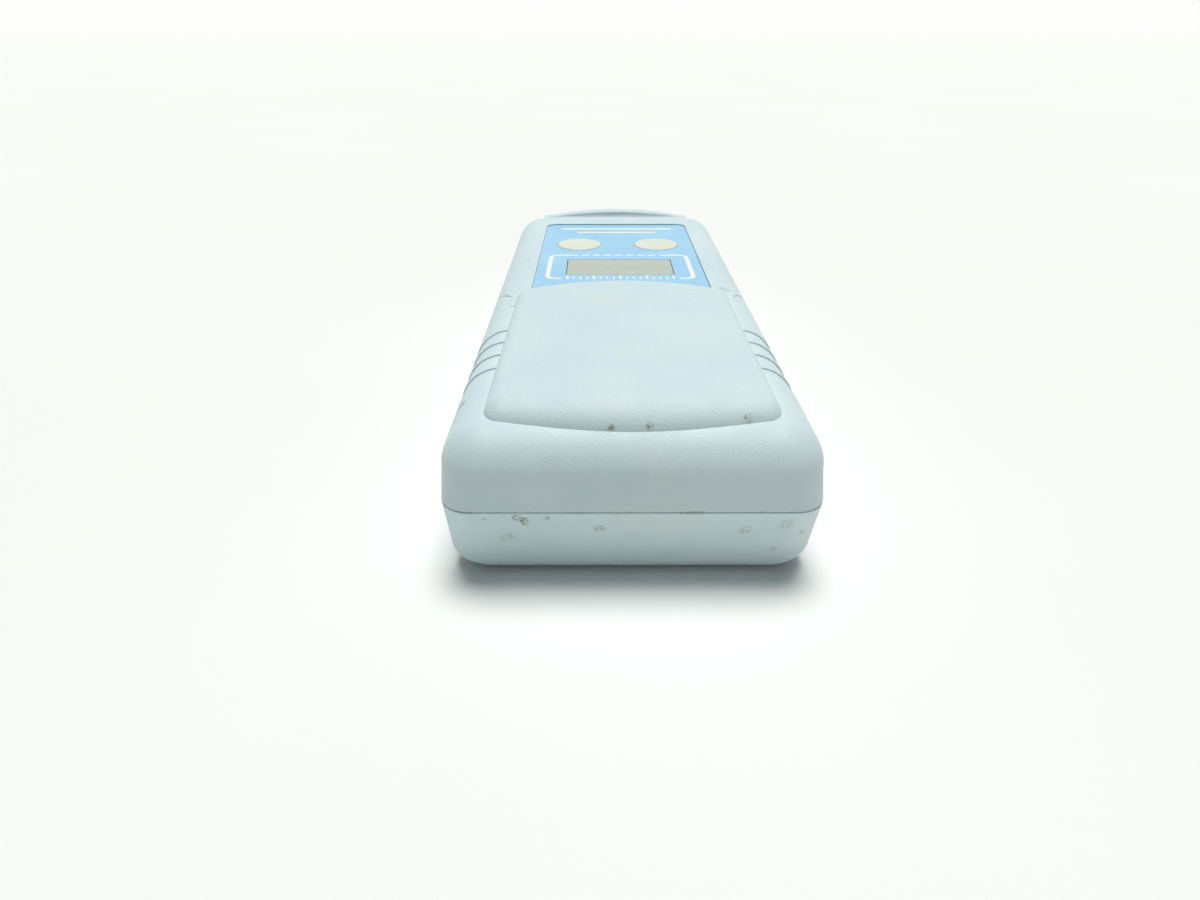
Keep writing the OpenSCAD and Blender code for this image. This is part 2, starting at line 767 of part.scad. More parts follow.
module display_frame() {
    glass_z = glass_top - glass_t - board_top;
    color(black_plastic) translate([0, window_y, board_top]) difference() {
        linear_extrude(glass_top - board_top) square(2 * frame_half, center = true);
        translate([0, 0, glass_z]) linear_extrude(10)
            square(2 * glass_half + [0.2, 0.2], center = true);
        for (s = [-1, 1]) translate([0, s * (glass_half[1] - strip_t / 2 - 0.2), -cut])
            linear_extrude(10) square([2 * strip_half_w + 0.2, strip_t + 0.2], center = true);
        translate([0, 0, 1.2]) linear_extrude(10)
            square([2 * strip_half_w, 2 * (glass_half[1] - strip_t - 1.4)], center = true);
    }
}

module display_connectors() {
    color([0.85, 0.55, 0.6]) for (s = [-1, 1])
        translate([0, window_y + s * (glass_half[1] - strip_t / 2 - 0.2), board_top])
            linear_extrude(glass_top - glass_t - board_top)
                square([2 * strip_half_w, strip_t], center = true);
}

// Battery rows: the nub points to the keypad end on even rows
function row_x(i) = (i - (cell_rows - 1) / 2) * cell_pitch;
function nub_end(i) = i % 2 == 0 ? 1 : -1;

module contact_plates() {
    z0 = cell_z - plate_half;
    z1 = cell_z + plate_half;
    y1 = [bay_y1 - plate_t, bay_y1];
    color(metal_colour) {
        for (x = [row_x(0), row_x(3)]) {
            box_from([x - plate_half, y1[0], z0], [x + plate_half, y1[1], z1]);
            box_from([x - tab_half, y1[0], z1 - cut], [x + tab_half, y1[1], board_bottom]);
        }
        box_from([row_x(1) - plate_half, y1[0], z0], [row_x(2) + plate_half, y1[1], z1]);
        for (i = [0, 2]) box_from([row_x(i) - plate_half, bay_y0, z0],
            [row_x(i + 1) + plate_half, bay_y0 + plate_t, z1]);
        for (i = [0 : cell_rows - 1]) contact_at(i, nub_end(i))
            cylinder(r1 = 2.6, r2 = 1.8, h = contact_space - plate_t - 0.1, $fn = 32);
    }
}

// Place on a contact plate, facing the battery in row i
module contact_at(i, end) {
    y = end > 0 ? bay_y1 - plate_t : bay_y0 + plate_t;
    translate([row_x(i), y, cell_z]) rotate([end * 90, 0, 0]) children();
}

module battery_springs() {
    h = contact_space - plate_t - 0.1;
    color(metal_colour) for (i = [0 : cell_rows - 1]) contact_at(i, -nub_end(i))
        rotate_extrude($fn = 32) polygon([[3.2, 0], [4, 0], [4, h * 0.3], [3.5, h * 0.3],
            [3.5, h * 0.65], [3, h * 0.65], [3, h], [2.2, h], [2.2, h * 0.4],
            [3.2, h * 0.4]]);
}

module batteries() {
    nub = 0.8;
    color([0.30, 0.33, 0.36]) for (i = [0 : cell_rows - 1])
        translate([row_x(i), (bay_y0 + bay_y1) / 2, cell_z]) rotate([-90 * nub_end(i), 0, 0])
            translate([0, 0, -cell_l / 2]) {
                cylinder(r = cell_d / 2, h = cell_l - nub, $fn = 64);
                cylinder(r = 1.9, h = cell_l, $fn = 32);
            }
}

module battery_door() {
    color(shell_colour) difference() {
        union() {
            intersection() {
                lower_form(0, y_cap, y_key);
                box_from([-door_half_w, bay_y0 - door_ledge + door_gap, -cut],
                    [door_half_w, y_key, door_lift]);
            }
            both_sides() box_from([door_half_w - cut, bay_y0, runner_z[0]],
                [door_half_w + runner_w, bay_y1, runner_z[1]]);
        }
        lower_form(door_t, y_cap, y_key - door_t, 0, coarse);
        for (i = [0 : 4]) translate([0, y_key - 24 + 2.4 * i, -cut])
            linear_extrude(cut + 0.4) square([0.8 * door_half_w, 1.1], center = true);
    }
}

front_housing();
rear_housing();
keypad_overlay();
display_window();
zero_key();
read_key();
cap_upper_shell();
cap_lower_shell();
cell_holder();
cell_seal();
lamp();
lamp_board();
lamp_lead();
collimating_lens();
interference_filter();
photodiode();
detector_board();
detector_ribbon();
main_board();
microcontroller();
amplifier_chip();
smoothing_capacitor();
timing_crystal();
key_switches();
cable_sockets();
board_screws();
holder_screws();
display_glass();
display_frame();
display_connectors();
contact_plates();
battery_springs();
batteries();
battery_door();
case_screws();
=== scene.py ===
"""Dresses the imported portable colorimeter: smooth moulded shells, a printed label, real finishes.

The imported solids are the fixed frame. Sizes are millimetres and are turned into metres when a
piece is finished. X runs across the body, Y from the cap end to the keypad end and Z up.
"""
import logging
from dataclasses import dataclass, field
from enum import Enum
from math import asin, cos, degrees, pi, radians, sin, sqrt
from typing import Callable, Iterable, Sequence

import bmesh
import bpy
from mathutils import Matrix, Vector


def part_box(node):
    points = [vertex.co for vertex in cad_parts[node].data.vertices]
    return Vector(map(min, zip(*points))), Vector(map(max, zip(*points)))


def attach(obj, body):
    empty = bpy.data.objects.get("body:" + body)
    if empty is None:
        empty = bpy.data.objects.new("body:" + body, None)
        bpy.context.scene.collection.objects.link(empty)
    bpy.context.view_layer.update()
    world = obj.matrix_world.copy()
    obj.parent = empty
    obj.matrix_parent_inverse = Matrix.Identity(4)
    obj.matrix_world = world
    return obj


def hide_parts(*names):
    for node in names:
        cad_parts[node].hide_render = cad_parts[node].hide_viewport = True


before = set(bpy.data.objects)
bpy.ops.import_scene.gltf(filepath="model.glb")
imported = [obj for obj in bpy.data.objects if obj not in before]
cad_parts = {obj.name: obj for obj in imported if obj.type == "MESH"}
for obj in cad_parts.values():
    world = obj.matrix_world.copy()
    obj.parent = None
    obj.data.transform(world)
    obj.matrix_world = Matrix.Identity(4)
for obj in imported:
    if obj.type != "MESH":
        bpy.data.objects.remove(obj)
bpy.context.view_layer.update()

LOG = logging.getLogger("colorimeter")
MM = 0.001  # a millimetre in metres
SHARP = radians(32)  # least angle of an edge that stays sharp
WELD = 0.001  # distance at which points are joined
LAP = 0.5  # how far a shape that cuts or joins reaches past a face
OFF_SEAM = 0.4  # distance from the seam that the mouth's roundings keep
Colour = tuple[float, float, float]
Point = tuple[float, float, float]
Place = tuple[float, float]
Where = Callable[[Vector], bool]
Socket = bpy.types.NodeSocket


class Slot(Enum):
    """Material slots that the record names."""

    SHELL = "moulded_shell"
    LABEL = "label_film"
    WINDOW = "window_pane"
    KEY = "key_plastic"
    BLACK = "black_plastic"
    SEAL = "seal_rubber"
    BOARD = "circuit_board"
    CHIP = "chip_plastic"
    SOCKET = "socket_plastic"
    CABLE = "cable_skin"
    LAMP = "lamp_resin"
    OPTIC = "optic_glass"
    FILTER = "filter_glass"
    DISPLAY = "display_glass"
    STRIP = "strip_rubber"
    METAL = "bright_metal"
    SCREW = "screw_steel"
    SLEEVE = "battery_sleeve"


class Body(Enum):
    """Bodies that the joints move."""

    HOUSING = "housing"
    CAP = "cap"
    ZERO_KEY = "zero_button"
    READ_KEY = "read_button"
    DOOR = "door"


# Shapes


@dataclass(frozen=True)
class Ring:
    """One level of a form whose plan is a rectangle with rounded corners.

    Attributes:
        half_w: half the width.
        y0: nearest edge.
        y1: farthest edge.
        rx: corner radius across the body.
        ry: corner radius along the body.
        z: height of the level.
    """

    half_w: float
    y0: float
    y1: float
    rx: float
    ry: float
    z: float

    def place(self, turn: int, steps: int) -> Vector:
        """Gives the place of one point of the ring.

        Args:
            turn: number of the point, counted round the ring.
            steps: pieces in each corner's arc.

        Returns:
            The point, in millimetres.
        """
        corner, part = divmod(turn, steps + 1)
        angle = (corner + part / steps) * pi / 2
        side = 1 if corner in (0, 3) else -1
        middle_x = side * (self.half_w - self.rx)
        middle_y = self.y1 - self.ry if corner in (0, 1) else self.y0 + self.ry
        return Vector((middle_x + self.rx * cos(angle), middle_y + self.ry * sin(angle), self.z))


def risen(bm: bmesh.types.BMesh, loop: Sequence[bmesh.types.BMEdge]
          ) -> tuple[set[bmesh.types.BMVert], list[bmesh.types.BMEdge]]:
    """Extrudes a loop of edges in place.

    Args:
        bm: the mesh.
        loop: its edges.

    Returns:
        The new vertices and the edges between them.
    """
    grown = bmesh.ops.extrude_edge_only(bm, edges=loop)["geom"]
    fresh = {part for part in grown if isinstance(part, bmesh.types.BMVert)}
    return fresh, [part for part in grown if isinstance(part, bmesh.types.BMEdge)
                   and part.verts[0] in fresh and part.verts[1] in fresh]


def closed(bm: bmesh.types.BMesh) -> bmesh.types.BMesh:
    """Joins the points that fall together and turns the faces outwards.

    Args:
        bm: the mesh.

    Returns:
        The same mesh.
    """
    bmesh.ops.remove_doubles(bm, verts=bm.verts, dist=WELD)
    bmesh.ops.recalc_face_normals(bm, faces=bm.faces)
    return bm


def stacked(rings: Sequence[Ring], steps: int) -> bmesh.types.BMesh:
    """Makes a closed form by extruding a loop through a stack of rings.

    Args:
        rings: the levels, in order.
        steps: pieces in each corner's arc.

    Returns:
        The new mesh, closed at both ends.
    """
    bm = bmesh.new()
    turn = bm.verts.layers.int.new("turn")
    verts = bmesh.ops.create_circle(bm, radius=1, segments=4 * (steps + 1))["verts"]
    for number, vert in enumerate(verts):
        vert[turn] = number
        vert.co = rings[0].place(number, steps)
    loop = list(bm.edges)
    bmesh.ops.contextual_create(bm, geom=loop)
    for ring in rings[1:]:
        fresh, loop = risen(bm, loop)
        for vert in fresh:
            vert.co = ring.place(vert[turn], steps)
    bmesh.ops.contextual_create(bm, geom=loop)
    return closed(bm)


def arc(x: float, z: float, r: float, start: float, end: float, steps: int) -> list[Place]:
    """Lists points on an arc.

    Args:
        x: middle, first direction.
        z: middle, second direction.
        r: radius.
        start: first angle in degrees.
        end: last angle in degrees.
        steps: number of pieces.

    Returns:
        The points, from start to end.
    """
    turns = [radians(start + (end - start) * k / steps) for k in range(steps + 1)]
    return [(x + r * cos(a), z + r * sin(a)) for a in turns]


class Solid:
    """A closed shape in millimetres that can be cut and joined."""

    def __init__(self, bm: bmesh.types.BMesh) -> None:
        """Takes over a mesh.

        Args:
            bm: the mesh, which is freed.
        """
        mesh = bpy.data.meshes.new("solid")
        bm.to_mesh(mesh)
        bm.free()
        self.thing = bpy.data.objects.new("solid", mesh)
        bpy.context.scene.collection.objects.link(self.thing)

    def drop(self) -> None:
        """Removes the scratch object and its mesh."""
        mesh = self.thing.data
        bpy.data.objects.remove(self.thing)
        bpy.data.meshes.remove(mesh)

    def _combine(self, other: "Solid", how: str) -> "Solid":
        """Combines this shape with another, which is used up.

        Args:
            other: the second shape.
            how: name of the operation.

        Returns:
            This shape.
        """
        step = self.thing.modifiers.new("combine", "BOOLEAN")
        step.operation = how
        step.solver = "EXACT"
        step.object = other.thing
        graph = bpy.context.evaluated_depsgraph_get()
        result = bpy.data.meshes.new_from_object(self.thing.evaluated_get(graph))
        self.thing.modifiers.clear()
        old = self.thing.data
        self.thing.data = result
        bpy.data.meshes.remove(old)
        other.drop()
        return self

    def cut(self, *others: "Solid") -> "Solid":
        """Takes other shapes away from this one and returns it.

        Args:
            *others: the shapes, which are used up.

        Returns:
            This shape.
        """
        for other in others:
            self._combine(other, "DIFFERENCE")
        return self

    def join(self, *others: "Solid") -> "Solid":
        """Adds other shapes to this one and returns it.

        Args:
            *others: the shapes, which are used up.

        Returns:
            This shape.
        """
        for other in others:
            self._combine(other, "UNION")
        return self

    def meet(self, other: "Solid") -> "Solid":
        """Keeps what this shape shares with another and returns it."""
        return self._combine(other, "INTERSECT")

    def shifted(self, by: Point) -> "Solid":
        """Moves this shape and returns it."""
        self.thing.data.transform(Matrix.Translation(by))
        return self

    def mesh(self) -> bmesh.types.BMesh:
        """Gives the shape back as a mesh and uses the shape up.

        Returns:
            The new mesh, in millimetres.
        """
        bm = bmesh.new()
        bm.from_mesh(self.thing.data)
        self.drop()
        return bm


def draped(bm: bmesh.types.BMesh, z: float) -> Solid:
    """Closes an open sheet by walls that reach down to a height, and a flat bottom.

    Args:
        bm: the sheet, which is freed.
        z: height of the flat bottom.

    Returns:
        The closed shape.
    """
    for vert in risen(bm, [edge for edge in bm.edges if edge.is_boundary])[0]:
        vert.co.z = z
    bmesh.ops.contextual_create(bm, geom=[edge for edge in bm.edges if edge.is_boundary])
    return Solid(closed(bm))


def box(low: Point, high: Point) -> Solid:
    """Makes a box between two corners.

    Args:
        low: lowest corner.
        high: highest corner.

    Returns:
        The box.
    """
    bm = bmesh.new()
    a, b = Vector(low), Vector(high)
    place = Matrix.Translation((a + b) / 2) @ Matrix.Diagonal((*(b - a), 1))
    bmesh.ops.create_cube(bm, size=1, matrix=place)
    return Solid(bm)


def slab(half_w: float, y0: float, y1: float, z0: float, z1: float) -> Solid:
    """Makes a box that reaches equally far to both sides of the body."""
    return box((-half_w, y0, z0), (half_w, y1, z1))


def rod(x: float, y: float, r: float, z0: float, z1: float, segments: int = 64) -> Solid:
    """Makes an upright round rod.

    Args:
        x: place of its axis across the body.
        y: place of its axis along the body.
        r: radius.
        z0: lower end.
        z1: upper end.
        segments: sides of the round.

    Returns:
        The rod.
    """
    bm = bmesh.new()
    place = Matrix.Translation((x, y, (z0 + z1) / 2))
    bmesh.ops.create_cone(bm, cap_ends=True, segments=segments, radius1=r, radius2=r,
                          depth=z1 - z0, matrix=place)
    return Solid(bm)


def rods(at: Place, r: float, z0: float, z1: float) -> list[Solid]:
    """Makes the pair of upright rods that stand on both sides of the body."""
    return [rod(side * at[0], at[1], r, z0, z1, 48) for side in (1, -1)]


def plate(half_w: float, y0: float, y1: float, r: float, z0: float, z1: float) -> Solid:
    """Makes a flat plate with rounded corners."""
    return Solid(stacked([Ring(half_w, y0, y1, r, r, z0), Ring(half_w, y0, y1, r, r, z1)], 10))


def prism(near: Sequence[Place], far: Sequence[Place], y0: float, y1: float) -> Solid:
    """Makes a closed shape that runs along the body.

    Args:
        near: points of its section (x, z) at y0.
        far: points of its section at y1.
        y0: near end.
        y1: far end.

    Returns:
        The shape.
    """
    bm = bmesh.new()
    turn = bm.verts.layers.int.new("turn")
    for number, (x, z) in enumerate(near):
        bm.verts.new((x, y0, z))[turn] = number
    bm.verts.ensure_lookup_table()
    verts = list(bm.verts)
    loop = [bm.edges.new(pair) for pair in zip(verts, verts[1:] + verts[:1])]
    bmesh.ops.contextual_create(bm, geom=loop)
    fresh, end = risen(bm, loop)
    for vert in fresh:
        x, z = far[vert[turn]]
        vert.co = (x, y1, z)
    bmesh.ops.contextual_create(bm, geom=end)
    bmesh.ops.recalc_face_normals(bm, faces=bm.faces)
    return Solid(bm)


def spun(profile: Sequence[Place], steps: int = 96) -> bmesh.types.BMesh:
    """Spins a profile, given as (radius, height) from axis to axis, about the upright axis.

    Args:
        profile: points of the profile.
        steps: sides of the round.

    Returns:
        The new mesh, closed.
    """
    bm = bmesh.new()
    line = [bm.verts.new((x, 0, z)) for x, z in profile]
    edges = [bm.edges.new(pair) for pair in zip(line, line[1:])]
    bmesh.ops.spin(bm, geom=[*line, *edges], cent=(0, 0, 0), axis=(0, 0, 1), dvec=(0, 0, 0),
                   angle=2 * pi, steps=steps, use_merge=True, use_duplicate=False)
    return closed(bm)


def coiled(foot: float, tip: float, wire: float, height: float, turns: float) -> bmesh.types.BMesh:
    """Winds a wire spring that stands on its wider foot.

    Args:
        foot: radius of its lowest turn.
        tip: radius of its highest turn.
        wire: radius of the wire.
        height: its whole height.
        turns: number of turns.

    Returns:
        The new mesh, closed at both ends of the wire.
    """
    steps = round(turns * 28)
    bm = bmesh.new()
    place = Matrix.Translation((foot, 0, wire)) @ Matrix.Rotation(pi / 2, 4, "X")
    bmesh.ops.create_circle(bm, radius=wire, segments=10, matrix=place)
    rise = (height - 2 * wire) / steps
    bmesh.ops.spin(bm, geom=[*bm.verts, *bm.edges], cent=(0, 0, 0), axis=(0, 0, 1),
                   dvec=(0, 0, rise), angle=2 * pi * turns, steps=steps, use_merge=False,
                   use_duplicate=False)
    bmesh.ops.holes_fill(bm, edges=[edge for edge in bm.edges if edge.is_boundary], sides=0)
    for vert in bm.verts:
        share = 1 - (1 - tip / foot) * vert.co.z / height
        vert.co.x *= share
        vert.co.y *= share
    bmesh.ops.recalc_face_normals(bm, faces=bm.faces)
    return bm


def gathered(parts: Iterable[bmesh.types.BMesh]) -> bmesh.types.BMesh:
    """Puts several meshes into one, side by side, and frees them.

    Args:
        parts: the meshes.

    Returns:
        The new mesh.
    """
    whole = bmesh.new()
    for part in parts:
        mesh = bpy.data.meshes.new("part")
        part.to_mesh(mesh)
        part.free()
        whole.from_mesh(mesh)
        bpy.data.meshes.remove(mesh)
    return whole


def mirrored(solid: Solid) -> Solid:
    """Makes the copy of a shape on the other side of the body.

    Args:
        solid: the shape, which stays as it is.

    Returns:
        The copy.
    """
    bm = bmesh.new()
    bm.from_mesh(solid.thing.data)
    bmesh.ops.scale(bm, vec=(-1, 1, 1), verts=bm.verts)
    bmesh.ops.recalc_face_normals(bm, faces=bm.faces)
    return Solid(bm)


def crisp(bm: bmesh.types.BMesh, width: float, where: Where) -> None:
    """Rounds the sharp edges in one place by a small radius.

    Args:
        bm: the mesh.
        width: how far the rounding reaches from the edge.
        where: tells whether an edge whose middle is at a point is rounded.
    """
    bm.normal_update()
    chosen = [edge for edge in bm.edges if len(edge.link_faces) == 2
              and edge.calc_face_angle(0) > SHARP
              and where((edge.verts[0].co + edge.verts[1].co) / 2)]
    if chosen:
        bmesh.ops.bevel(bm, geom=chosen, offset=width, offset_type="OFFSET", segments=2,
                        profile=0.5, affect="EDGES", clamp_overlap=True, material=-1)


def centre_of(part: bmesh.types.BMVert | bmesh.types.BMEdge | bmesh.types.BMFace) -> Point:
    """Gives the middle of a vertex, edge or face, to a ten-thousandth of a millimetre.

    Args:
        part: the vertex, edge or face.

    Returns:
        Its middle, in millimetres.
    """
    verts = [part] if isinstance(part, bmesh.types.BMVert) else part.verts
    total = sum((vert.co for vert in verts), Vector())
    return tuple(round(c / len(verts), 4) for c in total)


def tidy(bm: bmesh.types.BMesh) -> None:
    """Joins the fragments that cutting leaves in flat places, in an order that place decides.

    Args:
        bm: the mesh.
    """
    for parts in (bm.verts, bm.edges, bm.faces):
        rank = {part: number for number, part in enumerate(sorted(parts, key=centre_of))}
        parts.sort(key=rank.get)
        parts.index_update()
    bmesh.ops.remove_doubles(bm, verts=bm.verts, dist=0.004)
    bmesh.ops.dissolve_degenerate(bm, dist=WELD, edges=bm.edges)
    bmesh.ops.dissolve_limit(bm, angle_limit=radians(0.4), verts=bm.verts, edges=bm.edges)


def piece(name: str, bm: bmesh.types.BMesh, body: Body, slot: Slot,
          material: bpy.types.Material, *nodes: str) -> None:
    """Finishes a piece: metres, smooth shading, finish, body and the nodes it stands for.

    Args:
        name: the piece's name.
        bm: its mesh in millimetres, which is freed.
        body: the body that it moves with.
        slot: the material slot that it takes its finish from.
        material: its finish.
        *nodes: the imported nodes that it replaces.
    """
    bmesh.ops.scale(bm, vec=(MM, MM, MM), verts=bm.verts)
    mesh = bpy.data.meshes.new(name)
    bm.to_mesh(mesh)
    bm.free()
    mesh.shade_smooth()
    mesh.set_sharp_from_angle(angle=SHARP)
    mesh.materials.append(material)
    thing = bpy.data.objects.new(name, mesh)
    bpy.context.scene.collection.objects.link(thing)
    weigh = thing.modifiers.new("weighted_normals", "WEIGHTED_NORMAL")
    weigh.keep_sharp = True
    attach(thing, body.value)
    if nodes:
        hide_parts(*nodes)
    LOG.info("%s: %d faces on %s", name, len(mesh.polygons), body.value)


# Finishes


def srgb(red: float, green: float, blue: float) -> tuple[float, float, float, float]:
    """Turns a colour written 0 to 255 into the linear colour that sockets hold.

    Args:
        red: first channel.
        green: second channel.
        blue: third channel.

    Returns:
        The linear colour, with an alpha of 1.
    """
    def linear(c: float) -> float:
        """Turns one channel."""
        c /= 255
        return c / 12.92 if c <= 0.04045 else ((c + 0.055) / 1.055) ** 2.4
    return (linear(red), linear(green), linear(blue), 1)


class Graph:
    """The node graph of a material or of the world, with short calls for what they share."""

    def __init__(self, owner: bpy.types.Material | bpy.types.World) -> None:
        """Starts an empty graph.

        Args:
            owner: what the graph belongs to.
        """
        owner.use_nodes = True
        self.tree = owner.node_tree
        self.tree.nodes.clear()

    def add(self, kind: str, **settings: object) -> bpy.types.Node:
        """Adds a node and sets its own settings.

        Args:
            kind: type of the node.
            **settings: its own settings.

        Returns:
            The node.
        """
        node = self.tree.nodes.new(kind)
        for key, value in settings.items():
            setattr(node, key, value)
        return node

    def put(self, spots: Iterable[Socket], *values: object) -> None:
        """Sets or links a row of inputs.

        Args:
            spots: the inputs.
            *values: a value or an output for each.
        """
        for spot, value in zip(spots, values):
            if isinstance(value, Socket):
                self.tree.links.new(value, spot)
            else:
                spot.default_value = value

    def feed(self, node: bpy.types.Node, **values: object) -> bpy.types.Node:
        """Sets or links a node's inputs, named with _ for a space."""
        self.put([node.inputs[key.replace("_", " ")] for key in values], *values.values())
        return node

    def math(self, how: str, a: object, b: object = 0.0) -> Socket:
        """Does one sum on two values.

        Args:
            how: the operation.
            a: first value or output.
            b: second value or output.

        Returns:
            The result.
        """
        node = self.add("ShaderNodeMath", operation=how)
        self.put(node.inputs, a, b)
        return node.outputs[0]


class Finish(Graph):
    """The node graph of one material."""

    def __init__(self, name: str) -> None:
        """Starts an empty material.

        Args:
            name: the material's name.
        """
        self.material = bpy.data.materials.new(name)
        super().__init__(self.material)
        self.coords = self.add("ShaderNodeTexCoord").outputs["Object"]

    def stretched(self, scale: Point) -> Socket:
        """Gives the object's coordinates, scaled along each axis."""
        return self.feed(self.add("ShaderNodeMapping"), Vector=self.coords, Scale=scale).outputs[0]

    def noise(self, size: float, detail: float = 3, rough: float = 0.55,
              at: Socket | None = None) -> Socket:
        """Gives cloudy noise.

        Args:
            size: size of its patches in millimetres.
            detail: number of finer layers.
            rough: strength of the finer layers.
            at: coordinates, where they aren't the object's own.

        Returns:
            A value from 0 to 1.
        """
        node = self.add("ShaderNodeTexNoise")
        self.feed(node, Vector=at or self.coords, Scale=1 / (size * MM), Detail=detail,
                  Roughness=rough)
        return node.outputs["Fac"]

    def cells(self, size: float, at: Socket | None = None) -> Socket:
        """Gives the distance in a pattern of cells, sized in millimetres."""
        node = self.add("ShaderNodeTexVoronoi", feature="F1")
        return self.feed(node, Vector=at or self.coords, Scale=1 / (size * MM)).outputs["Distance"]

    def ramp(self, value: Socket, low: float, high: float, a: float = 0.0,
             b: float = 1.0) -> Socket:
        """Maps a value from low to high smoothly onto a to b.

        Args:
            value: the value.
            low: where the rise starts.
            high: where it ends.
            a: result at low.
            b: result at high.

        Returns:
            The result.
        """
        node = self.add("ShaderNodeMapRange", interpolation_type="SMOOTHSTEP")
        self.put(node.inputs, value, low, high, a, b)
        return node.outputs[0]

    def blend(self, share: object, a: object, b: object) -> Socket:
        """Blends two colours.

        Args:
            share: share of the second colour, from 0 to 1.
            a: first colour.
            b: second colour.

        Returns:
            The blended colour.
        """
        node = self.add("ShaderNodeMix", data_type="RGBA")
        self.put((node.inputs[0], node.inputs[6], node.inputs[7]), share, a, b)
        return node.outputs[2]

    def bump(self, height: Socket, depth: float, strength: float) -> Socket:
        """Turns a height from 0 to 1 into a bumpy normal, with the depth in millimetres."""
        node = self.add("ShaderNodeBump")
        return self.feed(node, Height=height, Distance=depth * MM, Strength=strength).outputs[0]

    def along(self, axis: str) -> Socket:
        """Gives one of the object's coordinates in metres."""
        return self.feed(self.add("ShaderNodeSeparateXYZ"), Vector=self.coords).outputs[axis]

    def surface(self, **values: object) -> bpy.types.Material:
        """Closes the graph with a shader.

        Args:
            **values: inputs of the shader, named with _ for a space.

        Returns:
            The finished material.
        """
        shader = self.feed(self.add("ShaderNodeBsdfPrincipled"), **values)
        self.feed(self.add("ShaderNodeOutputMaterial"), Surface=shader.outputs[0])
        return self.material


@dataclass(frozen=True)
class Smudge:
    """A dirt mark on the shells: its place and reach in millimetres, and how dark it is."""

    at: Point
    reach: float
    dark: float


@dataclass(frozen=True)
class MouldedShell:
    """Pale blue-grey moulded plastic with a fine spark texture, dust, small dirt marks and a
    painted line of shade along the seam.
    """

    seam: float
    smudges: tuple[Smudge, ...]
    name: str = "moulded_shell"
    tone: Colour = (207, 227, 231)
    worn: Colour = (214, 232, 234)
    aged: Colour = (221, 232, 220)
    # colour of the dirt marks, also used for the painted shade line along the seam
    dirt: Colour = (122, 120, 62)
    grain: float = 0.36

    def build(self) -> bpy.types.Material:
        """Builds the material.

        Returns:
            The finished material.
        """
        g = Finish(self.name)
        cloud = g.noise(30, 3)
        base = g.blend(g.ramp(cloud, 0.35, 0.7), srgb(*self.tone), srgb(*self.worn))
        base = g.blend(g.ramp(g.noise(16, 4, 0.6), 0.52, 0.74, 0, 0.45), base, srgb(*self.aged))
        speck = g.ramp(g.noise(0.9, 2, 0.7), 0.69, 0.76, 0, 0.45)
        film = g.ramp(g.noise(7, 5, 0.62), 0.6, 0.85, 0, 0.12)
        speck = g.math("MULTIPLY", speck, g.ramp(g.noise(14, 3), 0.55, 0.7))
        marks = g.math("MAXIMUM", speck, film)
        # painted shade: a dark band at the seam's height, in the dirt colour and broken up by noise
        seam_shade = g.ramp(g.math("ABSOLUTE", g.math("SUBTRACT", g.along("Z"), self.seam * MM)),
                       0.5 * MM, 0.1 * MM, 0, 0.55)
        seam_shade = g.math("MULTIPLY", seam_shade, g.ramp(g.noise(5, 4, 0.7), 0.5, 0.7, 0.12, 1))
        marks = g.math("MAXIMUM", marks, seam_shade)
        torn = g.ramp(g.noise(0.45, 3, 0.6), 0.47, 0.58, 0.2, 1)
        for smudge in self.smudges:
            away = g.add("ShaderNodeVectorMath", operation="DISTANCE")
            g.put(away.inputs, g.coords, [c * MM for c in smudge.at])
            near = g.ramp(away.outputs["Value"], smudge.reach * MM, 0.25 * smudge.reach * MM,
                          0, smudge.dark)
            marks = g.math("MAXIMUM", marks, g.math("MULTIPLY", near, torn))
        colour = g.blend(marks, base, srgb(*self.dirt))
        spark = g.math("ADD", g.cells(self.grain), g.noise(self.grain * 0.7, 2))
        rough = g.ramp(g.noise(6, 4), 0.3, 0.75, 0.46, 0.6)
        normal = g.bump(spark, 0.05, 0.75)
        return g.surface(Base_Color=colour, Roughness=rough, Normal=normal, Specular_IOR_Level=0.42)


@dataclass(frozen=True)
class PrintedFilm:
    """Printed polyester film with a satin face and faint rub marks."""

    name: str = "label_film"
    tone: Colour = (152, 206, 237)
    faded: Colour = (161, 213, 241)

    def build(self) -> bpy.types.Material:
        """Builds the material.

        Returns:
            The finished material.
        """
        g = Finish(self.name)
        fade = g.ramp(g.noise(12, 4), 0.35, 0.7)
        rub = g.ramp(g.noise(0.5, 4, 0.65), 0.58, 0.8, 0, 0.3)
        colour = g.blend(rub, g.blend(fade, srgb(*self.tone), srgb(*self.faded)),
                         srgb(*self.faded))
        rough = g.ramp(g.noise(3, 4), 0.3, 0.7, 0.36, 0.48)
        return g.surface(Base_Color=colour, Roughness=rough,
                         Normal=g.bump(g.noise(1.4, 2), 0.006, 0.4))


